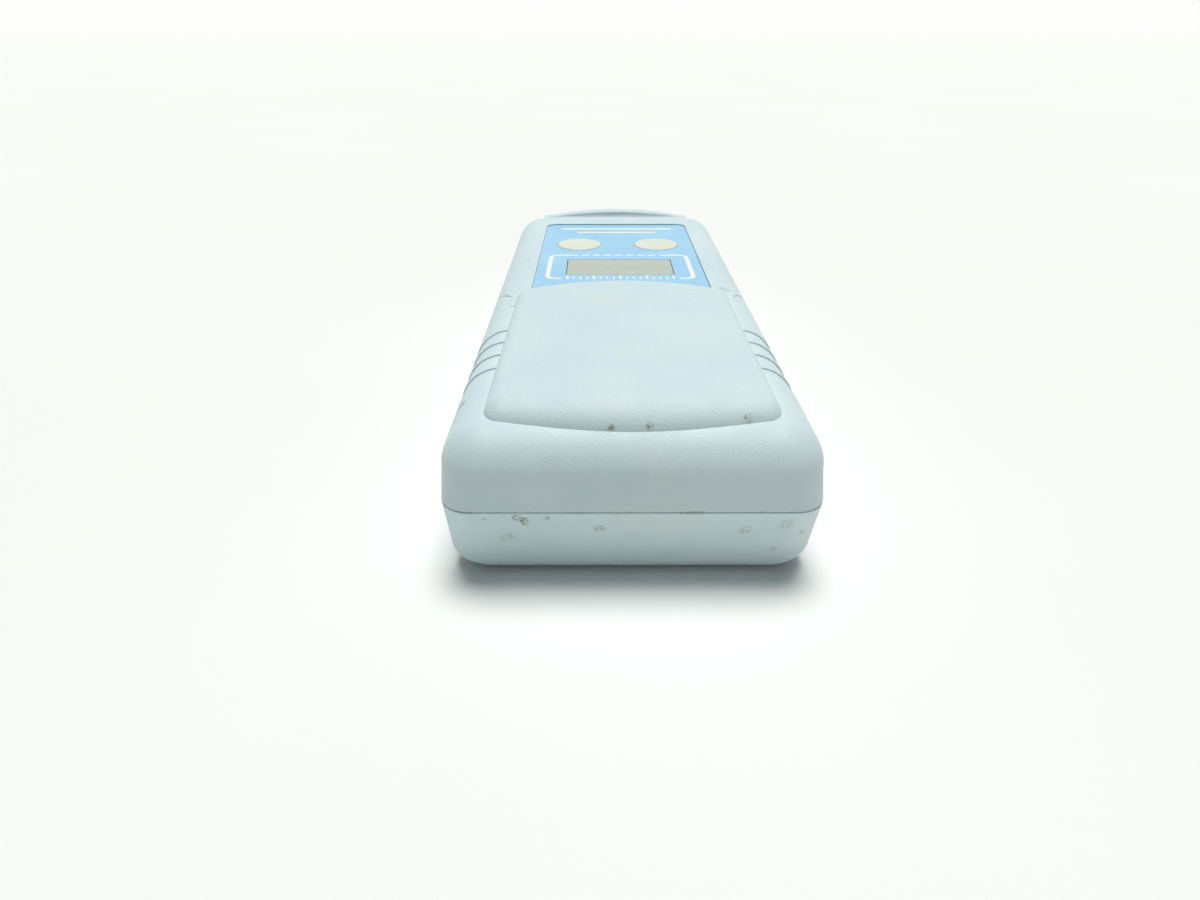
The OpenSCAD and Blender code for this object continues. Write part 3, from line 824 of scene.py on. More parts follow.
@dataclass(frozen=True)
class Grained:
    """A plain opaque finish with cloudy tone, fine grain and dust.

    Attributes:
        name: the finish's name.
        tone: its main colour.
        second: the colour of its lighter clouds.
        rough: least roughness.
        spread: how much the roughness varies.
        grain: size of the grain in millimetres.
        depth: depth of the grain in millimetres.
        metal: how metallic it is.
        dust: share of pale dust.
        stretch: how much finer the grain is along each axis.
    """

    name: str
    tone: Colour
    second: Colour
    rough: float = 0.4
    spread: float = 0.15
    grain: float = 0.4
    depth: float = 0.01
    metal: float = 0.0
    dust: float = 0.1
    stretch: Point = (1, 1, 1)

    def build(self) -> bpy.types.Material:
        """Builds the material.

        Returns:
            The finished material.
        """
        g = Finish(self.name)
        at = g.stretched(self.stretch)
        base = g.blend(g.ramp(g.noise(5, 4, 0.6, at), 0.35, 0.7), srgb(*self.tone),
                       srgb(*self.second))
        dusty = g.ramp(g.noise(1.6, 5, 0.7), 0.56, 0.8, 0, self.dust)
        colour = g.blend(dusty, base, srgb(206, 205, 196))
        grain = g.noise(self.grain, 3, 0.6, at)
        rough = g.ramp(g.noise(2.5, 4), 0.3, 0.75, self.rough, self.rough + self.spread)
        return g.surface(Base_Color=colour, Roughness=rough, Metallic=self.metal,
                         Normal=g.bump(grain, self.depth, 0.6))


@dataclass(frozen=True)
class ClearPart:
    """A clear or tinted see-through finish with a faint haze and a slightly uneven face.

    Attributes:
        name: the finish's name.
        tone: its tint.
        rough: roughness of its face.
        clear: how much light passes through.
        ior: index of refraction.
    """

    name: str
    tone: Colour
    rough: float = 0.06
    clear: float = 0.8
    ior: float = 1.49

    def build(self) -> bpy.types.Material:
        """Builds the material.

        Returns:
            The finished material.
        """
        g = Finish(self.name)
        cloud = g.noise(4, 4)
        tone = g.blend(g.ramp(cloud, 0.5, 0.8, 0, 0.2), srgb(*self.tone), srgb(228, 226, 216))
        rough = g.ramp(g.noise(1.5, 3), 0.4, 0.75, self.rough, self.rough + 0.08)
        haze = g.ramp(cloud, 0.35, 0.8, 1 - self.clear, 1.04 - self.clear)
        return g.surface(Base_Color=tone, Roughness=rough, Alpha=haze, IOR=self.ior,
                         Normal=g.bump(g.noise(2.5, 2), 0.004, 0.3))


@dataclass(frozen=True)
class CircuitBoard:
    """Green solder mask over copper tracks, with bare pads."""

    name: str = "circuit_board"
    mask: Colour = (26, 84, 52)
    track: Colour = (44, 118, 72)
    pad: Colour = (196, 190, 168)
    pitch: float = 1.27

    def build(self) -> bpy.types.Material:
        """Builds the material.

        Returns:
            The finished material.
        """
        g = Finish(self.name)
        lines = g.add("ShaderNodeTexVoronoi", distance="CHEBYCHEV", feature="DISTANCE_TO_EDGE")
        g.feed(lines, Vector=g.stretched((1, 1, 0.01)), Scale=1 / (2.9 * MM))
        track = g.ramp(lines.outputs["Distance"], 0.1, 0.14, 1, 0)
        grid = g.cells(self.pitch * 2, g.stretched((1, 1, 0.01)))
        pad = g.math("MULTIPLY", g.ramp(grid, 0.13, 0.16, 1, 0), g.ramp(g.noise(9, 1), 0.5, 0.56))
        colour = g.blend(pad, g.blend(track, srgb(*self.mask), srgb(*self.track)), srgb(*self.pad))
        rough = g.ramp(g.noise(2, 4), 0.3, 0.7, 0.24, 0.42)
        return g.surface(Base_Color=colour, Roughness=rough, Metallic=g.math("MULTIPLY", pad, 0.8),
                         Normal=g.bump(g.math("MAXIMUM", track, pad), 0.035, 0.7))


@dataclass(frozen=True)
class Liquid:
    """Reflective face of the display behind its glass, with a faint cloudy tone and a fine grain.
    """

    name: str = "display_glass"
    tone: Colour = (225, 231, 212)
    shade: Colour = (218, 224, 207)

    def build(self) -> bpy.types.Material:
        """Builds the material.

        Returns:
            The finished material.
        """
        g = Finish(self.name)
        colour = g.blend(g.ramp(g.noise(7, 3), 0.4, 0.7), srgb(*self.tone), srgb(*self.shade))
        rough = g.ramp(g.noise(2, 4), 0.3, 0.7, 0.2, 0.32)
        return g.surface(Base_Color=colour, Roughness=rough, Coat_Weight=0.6,
                         Normal=g.bump(g.noise(0.12, 2), 0.003, 0.4))


@dataclass(frozen=True)
class Sleeve:
    """Shrunk battery sleeves: dark barrels with a copper-coloured band at the nub, and steel ends.

    Attributes:
        name: the finish's name.
        barrel: colour of the barrel.
        band: colour of the band at the nub.
        steel: colour of the bare ends.
        middle: place of the cells' middle along the body in millimetres.
        half: half of a cell's length.
        pitch: spacing of the cells, whose nubs point to one end and the other in turn.
        reach: distance from a cell's middle to its band.
    """

    name: str = "battery_sleeve"
    barrel: Colour = (52, 56, 62)
    band: Colour = (192, 132, 78)
    steel: Colour = (196, 194, 188)
    middle: float = 35.25
    half: float = 22.25
    pitch: float = 10.8
    reach: float = 12.5

    def build(self) -> bpy.types.Material:
        """Builds the material.

        Returns:
            The finished material.
        """
        g = Finish(self.name)
        turned = g.math("SIGN", g.math("SINE", g.math("MULTIPLY", g.along("X"),
                                                      pi / (self.pitch * MM))))
        place = g.math("MULTIPLY", turned, g.math("SUBTRACT", g.along("Y"), self.middle * MM))
        edge = g.ramp(place, self.reach * MM, (self.reach + 0.3) * MM)
        bare = g.math("MAXIMUM", g.ramp(place, (self.half - 1.0) * MM, (self.half - 0.95) * MM),
                      g.ramp(place, (0.05 - self.half) * MM, (0.1 - self.half) * MM, 1, 0))
        colour = g.blend(edge, srgb(*self.barrel), srgb(*self.band))
        scuff = g.ramp(g.noise(1.2, 5, 0.7), 0.6, 0.8, 0, 0.3)
        colour = g.blend(bare, g.blend(scuff, colour, srgb(150, 148, 140)), srgb(*self.steel))
        rough = g.ramp(g.noise(2, 4), 0.3, 0.7, 0.22, 0.4)
        metal = g.math("MAXIMUM", g.math("MULTIPLY", edge, 0.6), bare)
        return g.surface(Base_Color=colour, Roughness=rough, Metallic=metal,
                         Normal=g.bump(g.noise(1.5, 3, 0.5, g.stretched((1, 0.1, 1))), 0.02, 0.4))


class Palette:
    """Every finish of the object, built once."""

    def __init__(self, smudges: tuple[Smudge, ...], seam: float) -> None:
        """Builds the finishes.

        Args:
            smudges: dirt marks on the shells.
            seam: height of the seam between the shells in millimetres, where the shells' finish
                paints a dark line of shade.
        """
        steel = {"metal": 1.0, "dust": 0.06}
        plans = {
            Slot.SHELL: MouldedShell(seam, smudges),
            Slot.LABEL: PrintedFilm(),
            Slot.WINDOW: ClearPart("window_pane", (205, 213, 197), 0.14, 0.2),
            Slot.KEY: Grained("key_plastic", (220, 228, 210), (228, 236, 220), 0.4, 0.14, 0.3,
                              0.012, dust=0.18),
            Slot.BLACK: Grained("black_plastic", (24, 25, 27), (38, 39, 41), 0.42, 0.2, 0.35, 0.02),
            Slot.SEAL: Grained("seal_rubber", (40, 40, 42), (56, 56, 57), 0.62, 0.2, 0.5, 0.02),
            Slot.BOARD: CircuitBoard(),
            Slot.CHIP: Grained("chip_plastic", (30, 31, 33), (44, 45, 46), 0.5, 0.15, 0.12, 0.012),
            Slot.SOCKET: Grained("socket_plastic", (226, 218, 196), (236, 230, 212), 0.4, 0.15),
            Slot.CABLE: Grained("cable_skin", (150, 152, 156), (170, 171, 174), 0.42, 0.15, 0.6,
                                0.03, stretch=(1, 0.05, 1)),
            Slot.LAMP: ClearPart("lamp_resin", (240, 244, 232), 0.04, 0.45, 1.53),
            Slot.OPTIC: ClearPart("optic_glass", (232, 242, 244), 0.02, 0.7, 1.52),
            Slot.FILTER: Grained("filter_glass", (196, 132, 52), (214, 152, 70), 0.08, 0.06, 2.0,
                                 0.004, 0.7),
            Slot.DISPLAY: Liquid(),
            Slot.STRIP: Grained("strip_rubber", (214, 150, 158), (224, 168, 174), 0.6, 0.2, 0.2,
                                0.02, stretch=(6, 1, 1)),
            Slot.METAL: Grained("bright_metal", (190, 188, 182), (210, 208, 203), 0.2, 0.2, 0.5,
                                0.01, **steel),
            Slot.SCREW: Grained("screw_steel", (150, 150, 148), (176, 175, 172), 0.26, 0.22, 0.25,
                                0.012, **steel),
            Slot.SLEEVE: Sleeve(),
        }
        self.of = {slot: plan.build() for slot, plan in plans.items()}
        self.ink = Grained("white_ink", (240, 246, 246), (248, 251, 250), 0.34, 0.12, 0.3, 0.004,
                           dust=0.04).build()
        LOG.info("palette: %d finishes", len(self.of) + 1)

    def moulded(self, name: str, solid: Solid, body: Body, node: str,
                *rounded: tuple[float, Where]) -> None:
        """Finishes a moulding of the shells.

        Args:
            name: the piece's name.
            solid: its shape, which is used up.
            body: the body that it moves with.
            node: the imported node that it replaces.
            *rounded: widths of small roundings, each with the place of its edges.
        """
        bm = solid.mesh()
        tidy(bm)
        for width, where in rounded:
            crisp(bm, width, where)
        piece(name, bm, body, Slot.SHELL, self.of[Slot.SHELL], node)


# The body's form


def corners_of(node: str) -> tuple[Vector, Vector]:
    """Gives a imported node's lowest and highest corners in millimetres."""
    low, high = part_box(node)
    return low / MM, high / MM


@dataclass
class BodyForm:
    """Outer form that both mouldings and the cap share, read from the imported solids.

    Attributes:
        wall: thickness of the moulded walls.
        corner: corner radius in plan at the seam.
        side: radius of the long upper edges.
        end: radius of the upper end edges.
        bottom: radii of the lower edges across, along and upwards.
        top_draft: inward lean of the upper walls.
        bottom_draft: inward lean of the lower walls.
        end_lean: inward lean of the lower walls at the two ends.
        seam_edge: rounding of the edges along the seam.
        cap_length: distance from the cap's end to the middle of its mouth.
        mouth_r: radius of the mouth in plan.
        tongue_r: radius of the two tongues beside the mouth, seen from the side.
        tongue_reach: how far the tongues reach past the mouth.
        tongue_in: distance of the tongues' inner sides from the middle.
        mouth_gap: gap between cap and housing along the mouth.
        neck_set: distance of the neck under the cap from the outer skin.
        neck_wall: thickness of the neck's walls.
        top: height of the flat top.
        least: least corner radius of an inner form.
        steps: pieces in each rounding.
    """

    wall: float = 2.2
    corner: float = 5.0
    side: float = 7.7
    end: float = 7.3
    bottom: Point = (7.0, 4.0, 5.0)
    top_draft: float = 0.1
    bottom_draft: float = 0.1
    end_lean: float = 3.8
    seam_edge: float = 0.22
    cap_length: float = 67.4
    mouth_r: float = 150.0
    tongue_r: float = 12.0
    tongue_reach: float = 11.8
    tongue_in: float = 22.1
    mouth_gap: float = 0.14
    neck_set: float = 2.55
    neck_wall: float = 2.0
    top: float = 28.0
    least: float = 0.8
    steps: int = 12
    half_w: float = field(init=False)
    y_cap: float = field(init=False)
    y_key: float = field(init=False)
    seam: float = field(init=False)

    def __post_init__(self) -> None:
        """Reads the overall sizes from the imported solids."""
        cap_low, cap_high = corners_of("cap_upper_shell")
        front_low, front_high = corners_of("front_housing")
        self.half_w = cap_high.x
        self.y_cap = cap_low.y
        self.y_key = front_high.y
        self.seam = round(front_low.z, 3)
        self.mouth = self.y_cap + self.cap_length
        self.tongue = self.mouth + self.tongue_reach
        self.past_mouth = self.tongue + 16
        self.bore_set = self.neck_set + self.neck_wall
        self.cavity = self.tongue + self.mouth_gap + self.wall
        self.neck_root = self.cavity + 8

    def _seam_rings(self, half: float, y0: float, y1: float, corner: float, z: float,
                    edge: float) -> list[Ring]:
        """Lists the rings of the rounding along the seam.

        Args:
            half: half the width.
            y0: near end.
            y1: far end.
            corner: corner radius.
            z: height of the seam.
            edge: the rounding, which reaches down where it is below 0.

        Returns:
            The rings, from the seam outwards, or a single one where there is no rounding.
        """
        rings = []
        for a in (0, pi / 6, pi / 3, pi / 2) if edge else (pi / 2,):
            inset = abs(edge) * (1 - sin(a))
            rings.append(Ring(half - inset, y0 + inset, y1 - inset, corner, corner,
                              z + edge * (1 - cos(a))))
        return rings

    def upper(self, inset: float, y0: float, y1: float, lap: float = 0, edge: float = 0) -> Solid:
        """Makes the upper half of the form.

        Args:
            inset: distance inside the outer skin.
            y0: near end.
            y1: far end.
            lap: how far it reaches below the seam.
            edge: rounding of its edge along the seam.

        Returns:
            The form.
        """
        corner, rx, ry = (max(r - inset, self.least) for r in (self.corner, self.side, self.end))
        half = self.half_w - inset
        rings = self._seam_rings(half, y0, y1, corner, self.seam - lap, edge)
        if lap:
            rings.append(Ring(half, y0, y1, corner, corner, self.seam))
        for k in range(self.steps + 1):
            a = k / self.steps * pi / 2
            inward = 1 - cos(a)
            rings.append(Ring(half - self.top_draft - rx * inward,
                              y0 + self.top_draft + ry * inward, y1 - self.top_draft - ry * inward,
                              rx * cos(a), ry * cos(a), self.top - inset - rx + rx * sin(a)))
        return Solid(stacked(rings, self.steps))

    def lower(self, inset: float, y0: float, y1: float, lap: float = 0, edge: float = 0) -> Solid:
        """Makes the lower half of the form.

        Args:
            inset: distance inside the outer skin.
            y0: near end.
            y1: far end.
            lap: how far it reaches above the seam.
            edge: rounding of its edge along the seam.

        Returns:
            The form.
        """
        corner, rx, ry, rz = (max(r - inset, self.least) for r in (self.corner, *self.bottom))
        half = self.half_w - inset
        rings = []
        for k in range(self.steps + 1):
            a = (1 - k / self.steps) * pi / 2
            aside = self.bottom_draft + rx * (1 - cos(a))
            along = self.end_lean + ry * (1 - cos(a))
            rings.append(Ring(half - aside, y0 + along, y1 - along, rx * cos(a), ry * cos(a),
                              inset + rz - rz * sin(a)))
        rings += reversed(self._seam_rings(half, y0, y1, corner, self.seam, -edge))
        if lap:
            rings.append(Ring(half, y0, y1, corner, corner, self.seam + lap))
        return Solid(stacked(rings, self.steps))

    def zone(self, gap: float) -> Solid:
        """Makes everything on the cap's side of its curved mouth, grown by a gap.

        Args:
            gap: how far it is grown.

        Returns:
            The shape.
        """
        disc = rod(0, self.mouth - self.mouth_r, self.mouth_r + gap, -1, self.top + 12, 480)
        r = self.tongue_r + gap
        deep = 2 * self.half_w
        for side in (1, -1):
            bm = bmesh.new()
            middle = side * (self.tongue_in - gap + deep / 2)
            place = Matrix.Translation((middle, self.tongue - self.tongue_r, self.seam)) @ \
                Matrix.Rotation(pi / 2, 4, "Y")
            bmesh.ops.create_cone(bm, cap_ends=True, segments=96, radius1=r, radius2=r,
                                  depth=deep, matrix=place)
            disc.join(Solid(bm))
        return disc

    def on_mouth(self, p: Vector, gap: float, near: float = 0.06) -> bool:
        """Tells whether a point lies on the mouth's surface grown by a gap.

        Args:
            p: the point.
            gap: how far the surface is grown.
            near: greatest distance that still counts as on it.

        Returns:
            True where it does.
        """
        reach = sqrt(p.x ** 2 + (p.y - self.mouth + self.mouth_r) ** 2) - self.mouth_r - gap
        tongue = sqrt((p.y - self.tongue + self.tongue_r) ** 2 + (p.z - self.seam) ** 2) \
            - self.tongue_r - gap
        return abs(reach) < near or abs(tongue) < near

    def outside(self, p: Vector, inset: float = 0.9) -> bool:
        """Tells whether a point lies on the outer skin and not inside the walls.

        Args:
            p: the point.
            inset: depth that still counts as skin.

        Returns:
            True where it does.
        """
        lean = self.top_draft if p.z > self.seam else self.bottom_draft
        flat = p.z > self.top - inset or p.z < inset
        return flat or abs(p.x) > self.half_w - lean - inset - self._roll(p.z)

    def _roll(self, z: float) -> float:
        """Gives how far the long edge's rounding has come in at a height.

        Args:
            z: the height.

        Returns:
            The distance from the wall's plane.
        """
        r, height = (self.side, self.top - z) if z > self.seam else (self.bottom[0], z)
        if height >= r:
            return 0.0
        return r - sqrt(max(r * r - (r - height) ** 2, 0))


# The cap


@dataclass
class Cap:
    """Pull-off cap: an upper shell with its crowned bulge and grip steps, and a flat lower one.

    Attributes:
        form: the body's form.
        bulge_half: half width of the bulge.
        bulge_set: distance from the cap's end to the bulge.
        bulge_end_r: radius in plan of the bulge's end.
        rise: height of the bulge above the flat top.
        crown: drop of the crown from the middle to its sides.
        fall: drop of the bulge towards the keypad.
        nose: length over which the bulge's end rounds down, in the middle and at its corners.
        edge: side rounding of the bulge.
        web: solid web at the mouth.
        grips: number of grip steps on each side.
        pitch: spacing of the grip steps.
        grip_set: distance from the mouth's middle to the first grip step.
        depth: depth of the grip steps.
        proud: how far outside the skin a step's cut begins.
        mouth_edge: rounding of the edges along the mouth.
    """

    form: BodyForm
    bulge_half: float = 23.7
    bulge_set: float = 4.4
    bulge_end_r: float = 105.0
    rise: float = 3.8
    crown: float = 1.4
    fall: float = 0.4
    nose: Place = (8.0, 4.0)
    edge: float = 3.0
    web: float = 5.4
    grips: int = 4
    pitch: float = 6.3
    grip_set: float = 21.0
    depth: float = 0.3
    proud: float = 0.08
    mouth_edge: float = 0.14

    def bulge(self, inset: float, y1: float) -> Solid:
        """Makes the crowned bulge from a grid that is drawn over it.

        Args:
            inset: distance inside its skin.
            y1: far end.

        Returns:
            The bulge, closed below the flat top.
        """
        sides, noses, across, along = 8, 12, 44, 30
        half = self.bulge_half - self.edge
        edge = self.edge - inset
        base = self.form.top - 1
        bm = bmesh.new()
        bmesh.ops.create_grid(bm, x_segments=across, y_segments=along, size=1)
        for vert in bm.verts:
            i, j = round((vert.co.x + 1) / 2 * across), round((vert.co.y + 1) / 2 * along)
            side = 1 if i > across / 2 else -1
            column = min(i, across - i)
            over = min(column / sides, 1) * pi / 2
            x = side * half
            if column > sides:
                x = half * (2 * (i - sides) / (across - 2 * sides) - 1)
            up = min(j / noses, 1) * pi / 2
            reach = Vector((cos(over), cos(up), sin(over) * sin(up))).normalized()
            nose = self.nose[0] - (self.nose[0] - self.nose[1]) * (x / half) ** 2
            start = self.form.y_cap + self.bulge_set + x * x / (2 * self.bulge_end_r) + nose
            share = max(j - noses, 0) / (along - noses)
            y = start + (y1 - start) * share
            top = self.form.top + self.rise - self.crown * (x / half) ** 2 - inset
            top -= self.fall * (y - start) / (self.form.y_key - start)
            vert.co = (x + side * edge * reach.x, y - (nose - inset) * reach.y,
                       base + (top - base) * reach.z)
        return draped(bm, base - 1)

    def grip(self, y1: float) -> Solid:
        """Makes what one grip step takes away on the right side.

        Args:
            y1: end of the step towards the mouth.

        Returns:
            The shape to cut.
        """
        form = self.form
        y0 = y1 - self.pitch + 0.4
        inner = self.bulge_half - 1

        def section(sunk: float) -> list[Place]:
            """Lists the section of the step where it is sunk by a depth.

            Args:
                sunk: the depth.

            Returns:
                The points (x, z), in order.
            """
            middle = form.half_w - form.top_draft - form.side
            r = form.side - sunk
            start = 90 - degrees(asin(max(inner - middle, 0) / r))
            roll = arc(middle, form.top - form.side, r, start, 0, 24)
            return [(inner, roll[0][1]), *roll[1:], (form.half_w - sunk, form.seam - LAP),
                    (form.half_w + 4, form.seam - LAP), (form.half_w + 4, form.top + 1),
                    (inner, form.top + 1)]

        return prism(section(-self.proud), section(self.depth), y0, y1)

    def upper(self, palette: Palette) -> None:
        """Builds the upper shell.

        Args:
            palette: the finishes.
        """
        form = self.form
        shell = form.upper(0, form.y_cap, form.y_key, edge=form.seam_edge)
        for k in range(self.grips):
            right = self.grip(form.mouth - self.grip_set - k * self.pitch)
            shell.cut(right, mirrored(right))
        shell.join(self.bulge(0, form.y_key - 20)).meet(form.zone(0))
        shell.cut(form.upper(form.wall, form.y_cap + form.wall, form.past_mouth, lap=LAP),
                  self.bulge(form.wall, form.mouth - self.web))
        palette.moulded("cap_upper_moulding", shell, Body.CAP, "cap_upper_shell", (
            self.mouth_edge, lambda p: form.on_mouth(p, 0) and p.z > form.seam + OFF_SEAM))

    def lower(self, palette: Palette) -> None:
        """Builds the lower shell.

        Args:
            palette: the finishes.
        """
        form = self.form
        shell = form.lower(0, form.y_cap, form.y_key, edge=form.seam_edge).meet(form.zone(0))
        shell.cut(form.lower(form.wall, form.y_cap + form.wall, form.past_mouth, lap=LAP))
        palette.moulded("cap_lower_moulding", shell, Body.CAP, "cap_lower_shell", (
            self.mouth_edge, lambda p: form.on_mouth(p, 0) and p.z < form.seam - OFF_SEAM))


# The housing


@dataclass
class Layout:
    """Places that the housing, its label, keys and screws share.

    Attributes:
        form: the body's form.
        recess_half: half width of the label's recess.
        recess_depth: its depth.
        recess_set: distance of its end from the keypad end.
        label_r: corner radius of recess and label.
        label_gap: gap round the label.
        window: size of the window across and along.
        window_set: distance of the window's middle from the mouth.
        window_gap: gap round the window.
        pane_rim: width of the pane's rim under the roof.
        rim_t: thickness of that rim.
        key: distance of a key from the middle and from the mouth.
        key_r: radius of the keys.
        key_clear: gap round a key in the housing.
        lip_set: distance of the lip's front from the keypad end.
        lip_half: half width of the lip.
        lip_rise: its height in the middle.
        well: distance of the well from the cap's end, and radius of the hole over it.
        post_r: radius of the screw posts.
        screw_r: radius of the case screws' pilot holes.
        pilot_end: height at which the pilot holes end.
        head_r: radius of the screws' heads.
        boss_r: radius of the posts' feet.
        seat_z: height of the heads' seats.
        board_top: height of the main board's upper face.
        board_post: radius of the board's posts, radius and depth of their holes.
        holder_post: place beside the well, radius and foot of the cell holder's posts.
    """

    form: BodyForm
    recess_half: float = 20.9
    recess_depth: float = 0.6
    recess_set: float = 14.1
    label_r: float = 2.5
    label_gap: float = 0.2
    window: Place = (26.6, 13.6)
    window_set: float = 24.75
    window_gap: float = 0.15
    pane_rim: float = 1.5
    rim_t: float = 0.9
    key: Place = (10.7, 46.9)
    key_r: float = 6.1
    key_clear: float = 0.2
    lip_set: float = 8.0
    lip_half: float = 22.6
    lip_rise: float = 2.4
    well: Place = (28.0, 15.2)
    post_r: float = 3.0
    screw_r: float = 1.25
    pilot_end: float = 21.1
    head_r: float = 2.6
    boss_r: float = 3.7
    seat_z: float = 5.6
    board_top: float = 19.1
    board_post: Point = (2.6, 1.0, 5.5)
    holder_post: tuple[Place, float, float] = ((14.2, 13.6), 2.6, 17.5)

    def __post_init__(self) -> None:
        """Works the places out from the form."""
        form = self.form
        self.label_z = form.top - self.recess_depth
        self.recess_end = form.y_key - self.recess_set
        self.window_y = form.mouth + self.window_set
        self.key_y = form.mouth + self.key[1]
        self.well_y = form.y_cap + self.well[0]
        neck_half = form.half_w - form.bore_set
        self.posts = [(neck_half - self.post_r - 1.1, form.y_cap + 11), (18, form.mouth + 6.6),
                      (18, form.y_key - 10.5)]
        self.board_posts = [(21, self.window_y - 1), (21, self.key_y + 16.5)]

    def window_space(self, z0: float, z1: float) -> Solid:
        """Makes the space of the window with the gap round it, between two heights."""
        across, along = (size / 2 + self.window_gap for size in self.window)
        return slab(across, self.window_y - along, self.window_y + along, z0, z1)


@dataclass
class FrontHousing:
    """Upper moulding of the body: neck, label recess, and the raised lip at the keypad end."""

    form: BodyForm
    layout: Layout

    def lip(self) -> Solid:
        """Makes the crowned lip from a grid: a cove at its front, a crest and a rounded back.

        Returns:
            The lip, with a root that reaches into the roof.
        """
        form, layout = self.form, self.layout
        profile = [(-0.3, -0.05), (0.1, 0.0), (0.5, 0.03), (0.85, 0.09), (1.15, 0.18),
                   (1.4, 0.3), (1.6, 0.46), (1.72, 0.62), (1.8, 0.78), (1.84, 0.8), (2.4, 0.9),
                   (3.2, 0.985), (4.0, 1.0), (4.7, 0.94), (5.3, 0.8), (5.9, 0.55), (6.4, 0.25),
                   (6.9, -0.12), (7.2, -0.6), (7.4, -1.3)]
        across = 72
        bm = bmesh.new()
        bmesh.ops.create_grid(bm, x_segments=across, y_segments=len(profile) - 1, size=1)
        for vert in bm.verts:
            s = vert.co.x
            j = round((vert.co.y + 1) / 2 * (len(profile) - 1))
            out, share = profile[j]
            height = (1 - s * s) * layout.lip_rise
            back = max(out - 4, 0) / 3.4
            x = s * layout.lip_half * (1 - 0.1 * back * back)
            z = form.top + (height * share if share > 0 else layout.lip_rise * share)
            vert.co = (x, form.y_key - layout.lip_set + out, z)
        return draped(bm, form.top - 6)

    def build(self, palette: Palette) -> None:
        """Builds the moulding.

        Args:
            palette: the finishes.
        """
        form, at = self.form, self.layout
        roof = form.top - form.wall
        neck_roof = form.top - form.bore_set
        shell = form.upper(0, form.y_cap, form.y_key, edge=form.seam_edge).cut(
            form.zone(form.mouth_gap))
        shell.join(form.upper(form.neck_set, form.y_cap + form.neck_set, form.neck_root),
                   self.lip())
        shell.cut(form.upper(form.wall, form.cavity, form.y_key - form.wall, lap=LAP),
                  form.upper(form.bore_set, form.y_cap + form.bore_set, form.neck_root, lap=LAP),
                  slab(form.half_w - form.side, form.mouth + form.mouth_gap + form.wall,
                       form.neck_root, form.seam - LAP, roof))
        for place, top in zip(at.posts, (neck_roof, roof, roof)):
            shell.join(*rods(place, at.post_r, form.seam, top + LAP))
        for place in at.board_posts:
            shell.join(*rods(place, at.board_post[0], at.board_top, roof + LAP))
        (across, along), post_r, foot = at.holder_post
        for side in (1, -1):
            shell.join(*rods((across, at.well_y + side * along), post_r, foot, neck_roof + LAP))
        shell.cut(plate(at.recess_half, form.mouth - 30, at.recess_end, at.label_r, at.label_z,
                        at.label_z + 5),
                  at.window_space(roof - LAP, form.top + 2),
                  *rods((at.key[0], at.key_y), at.key_r + at.key_clear, roof - LAP, form.top),
                  rod(0, at.well_y, at.well[1], neck_roof - LAP, form.top, 128))
        for place in at.posts:
            shell.cut(*rods(place, at.screw_r, form.seam - LAP, at.pilot_end))
        for place in at.board_posts:
            shell.cut(*rods(place, at.board_post[1], at.board_top - LAP,
                            at.board_top + at.board_post[2]))
        palette.moulded(
            "front_moulding", shell, Body.HOUSING, "front_housing",
            (0.12, lambda p: form.on_mouth(p, form.mouth_gap) and form.outside(p)
             and p.z > form.seam + OFF_SEAM),
            (0.14, lambda p: abs(p.z - form.top) < 0.02 and abs(abs(p.x) - at.recess_half) < 3
             and form.mouth < p.y < at.recess_end + 0.1))


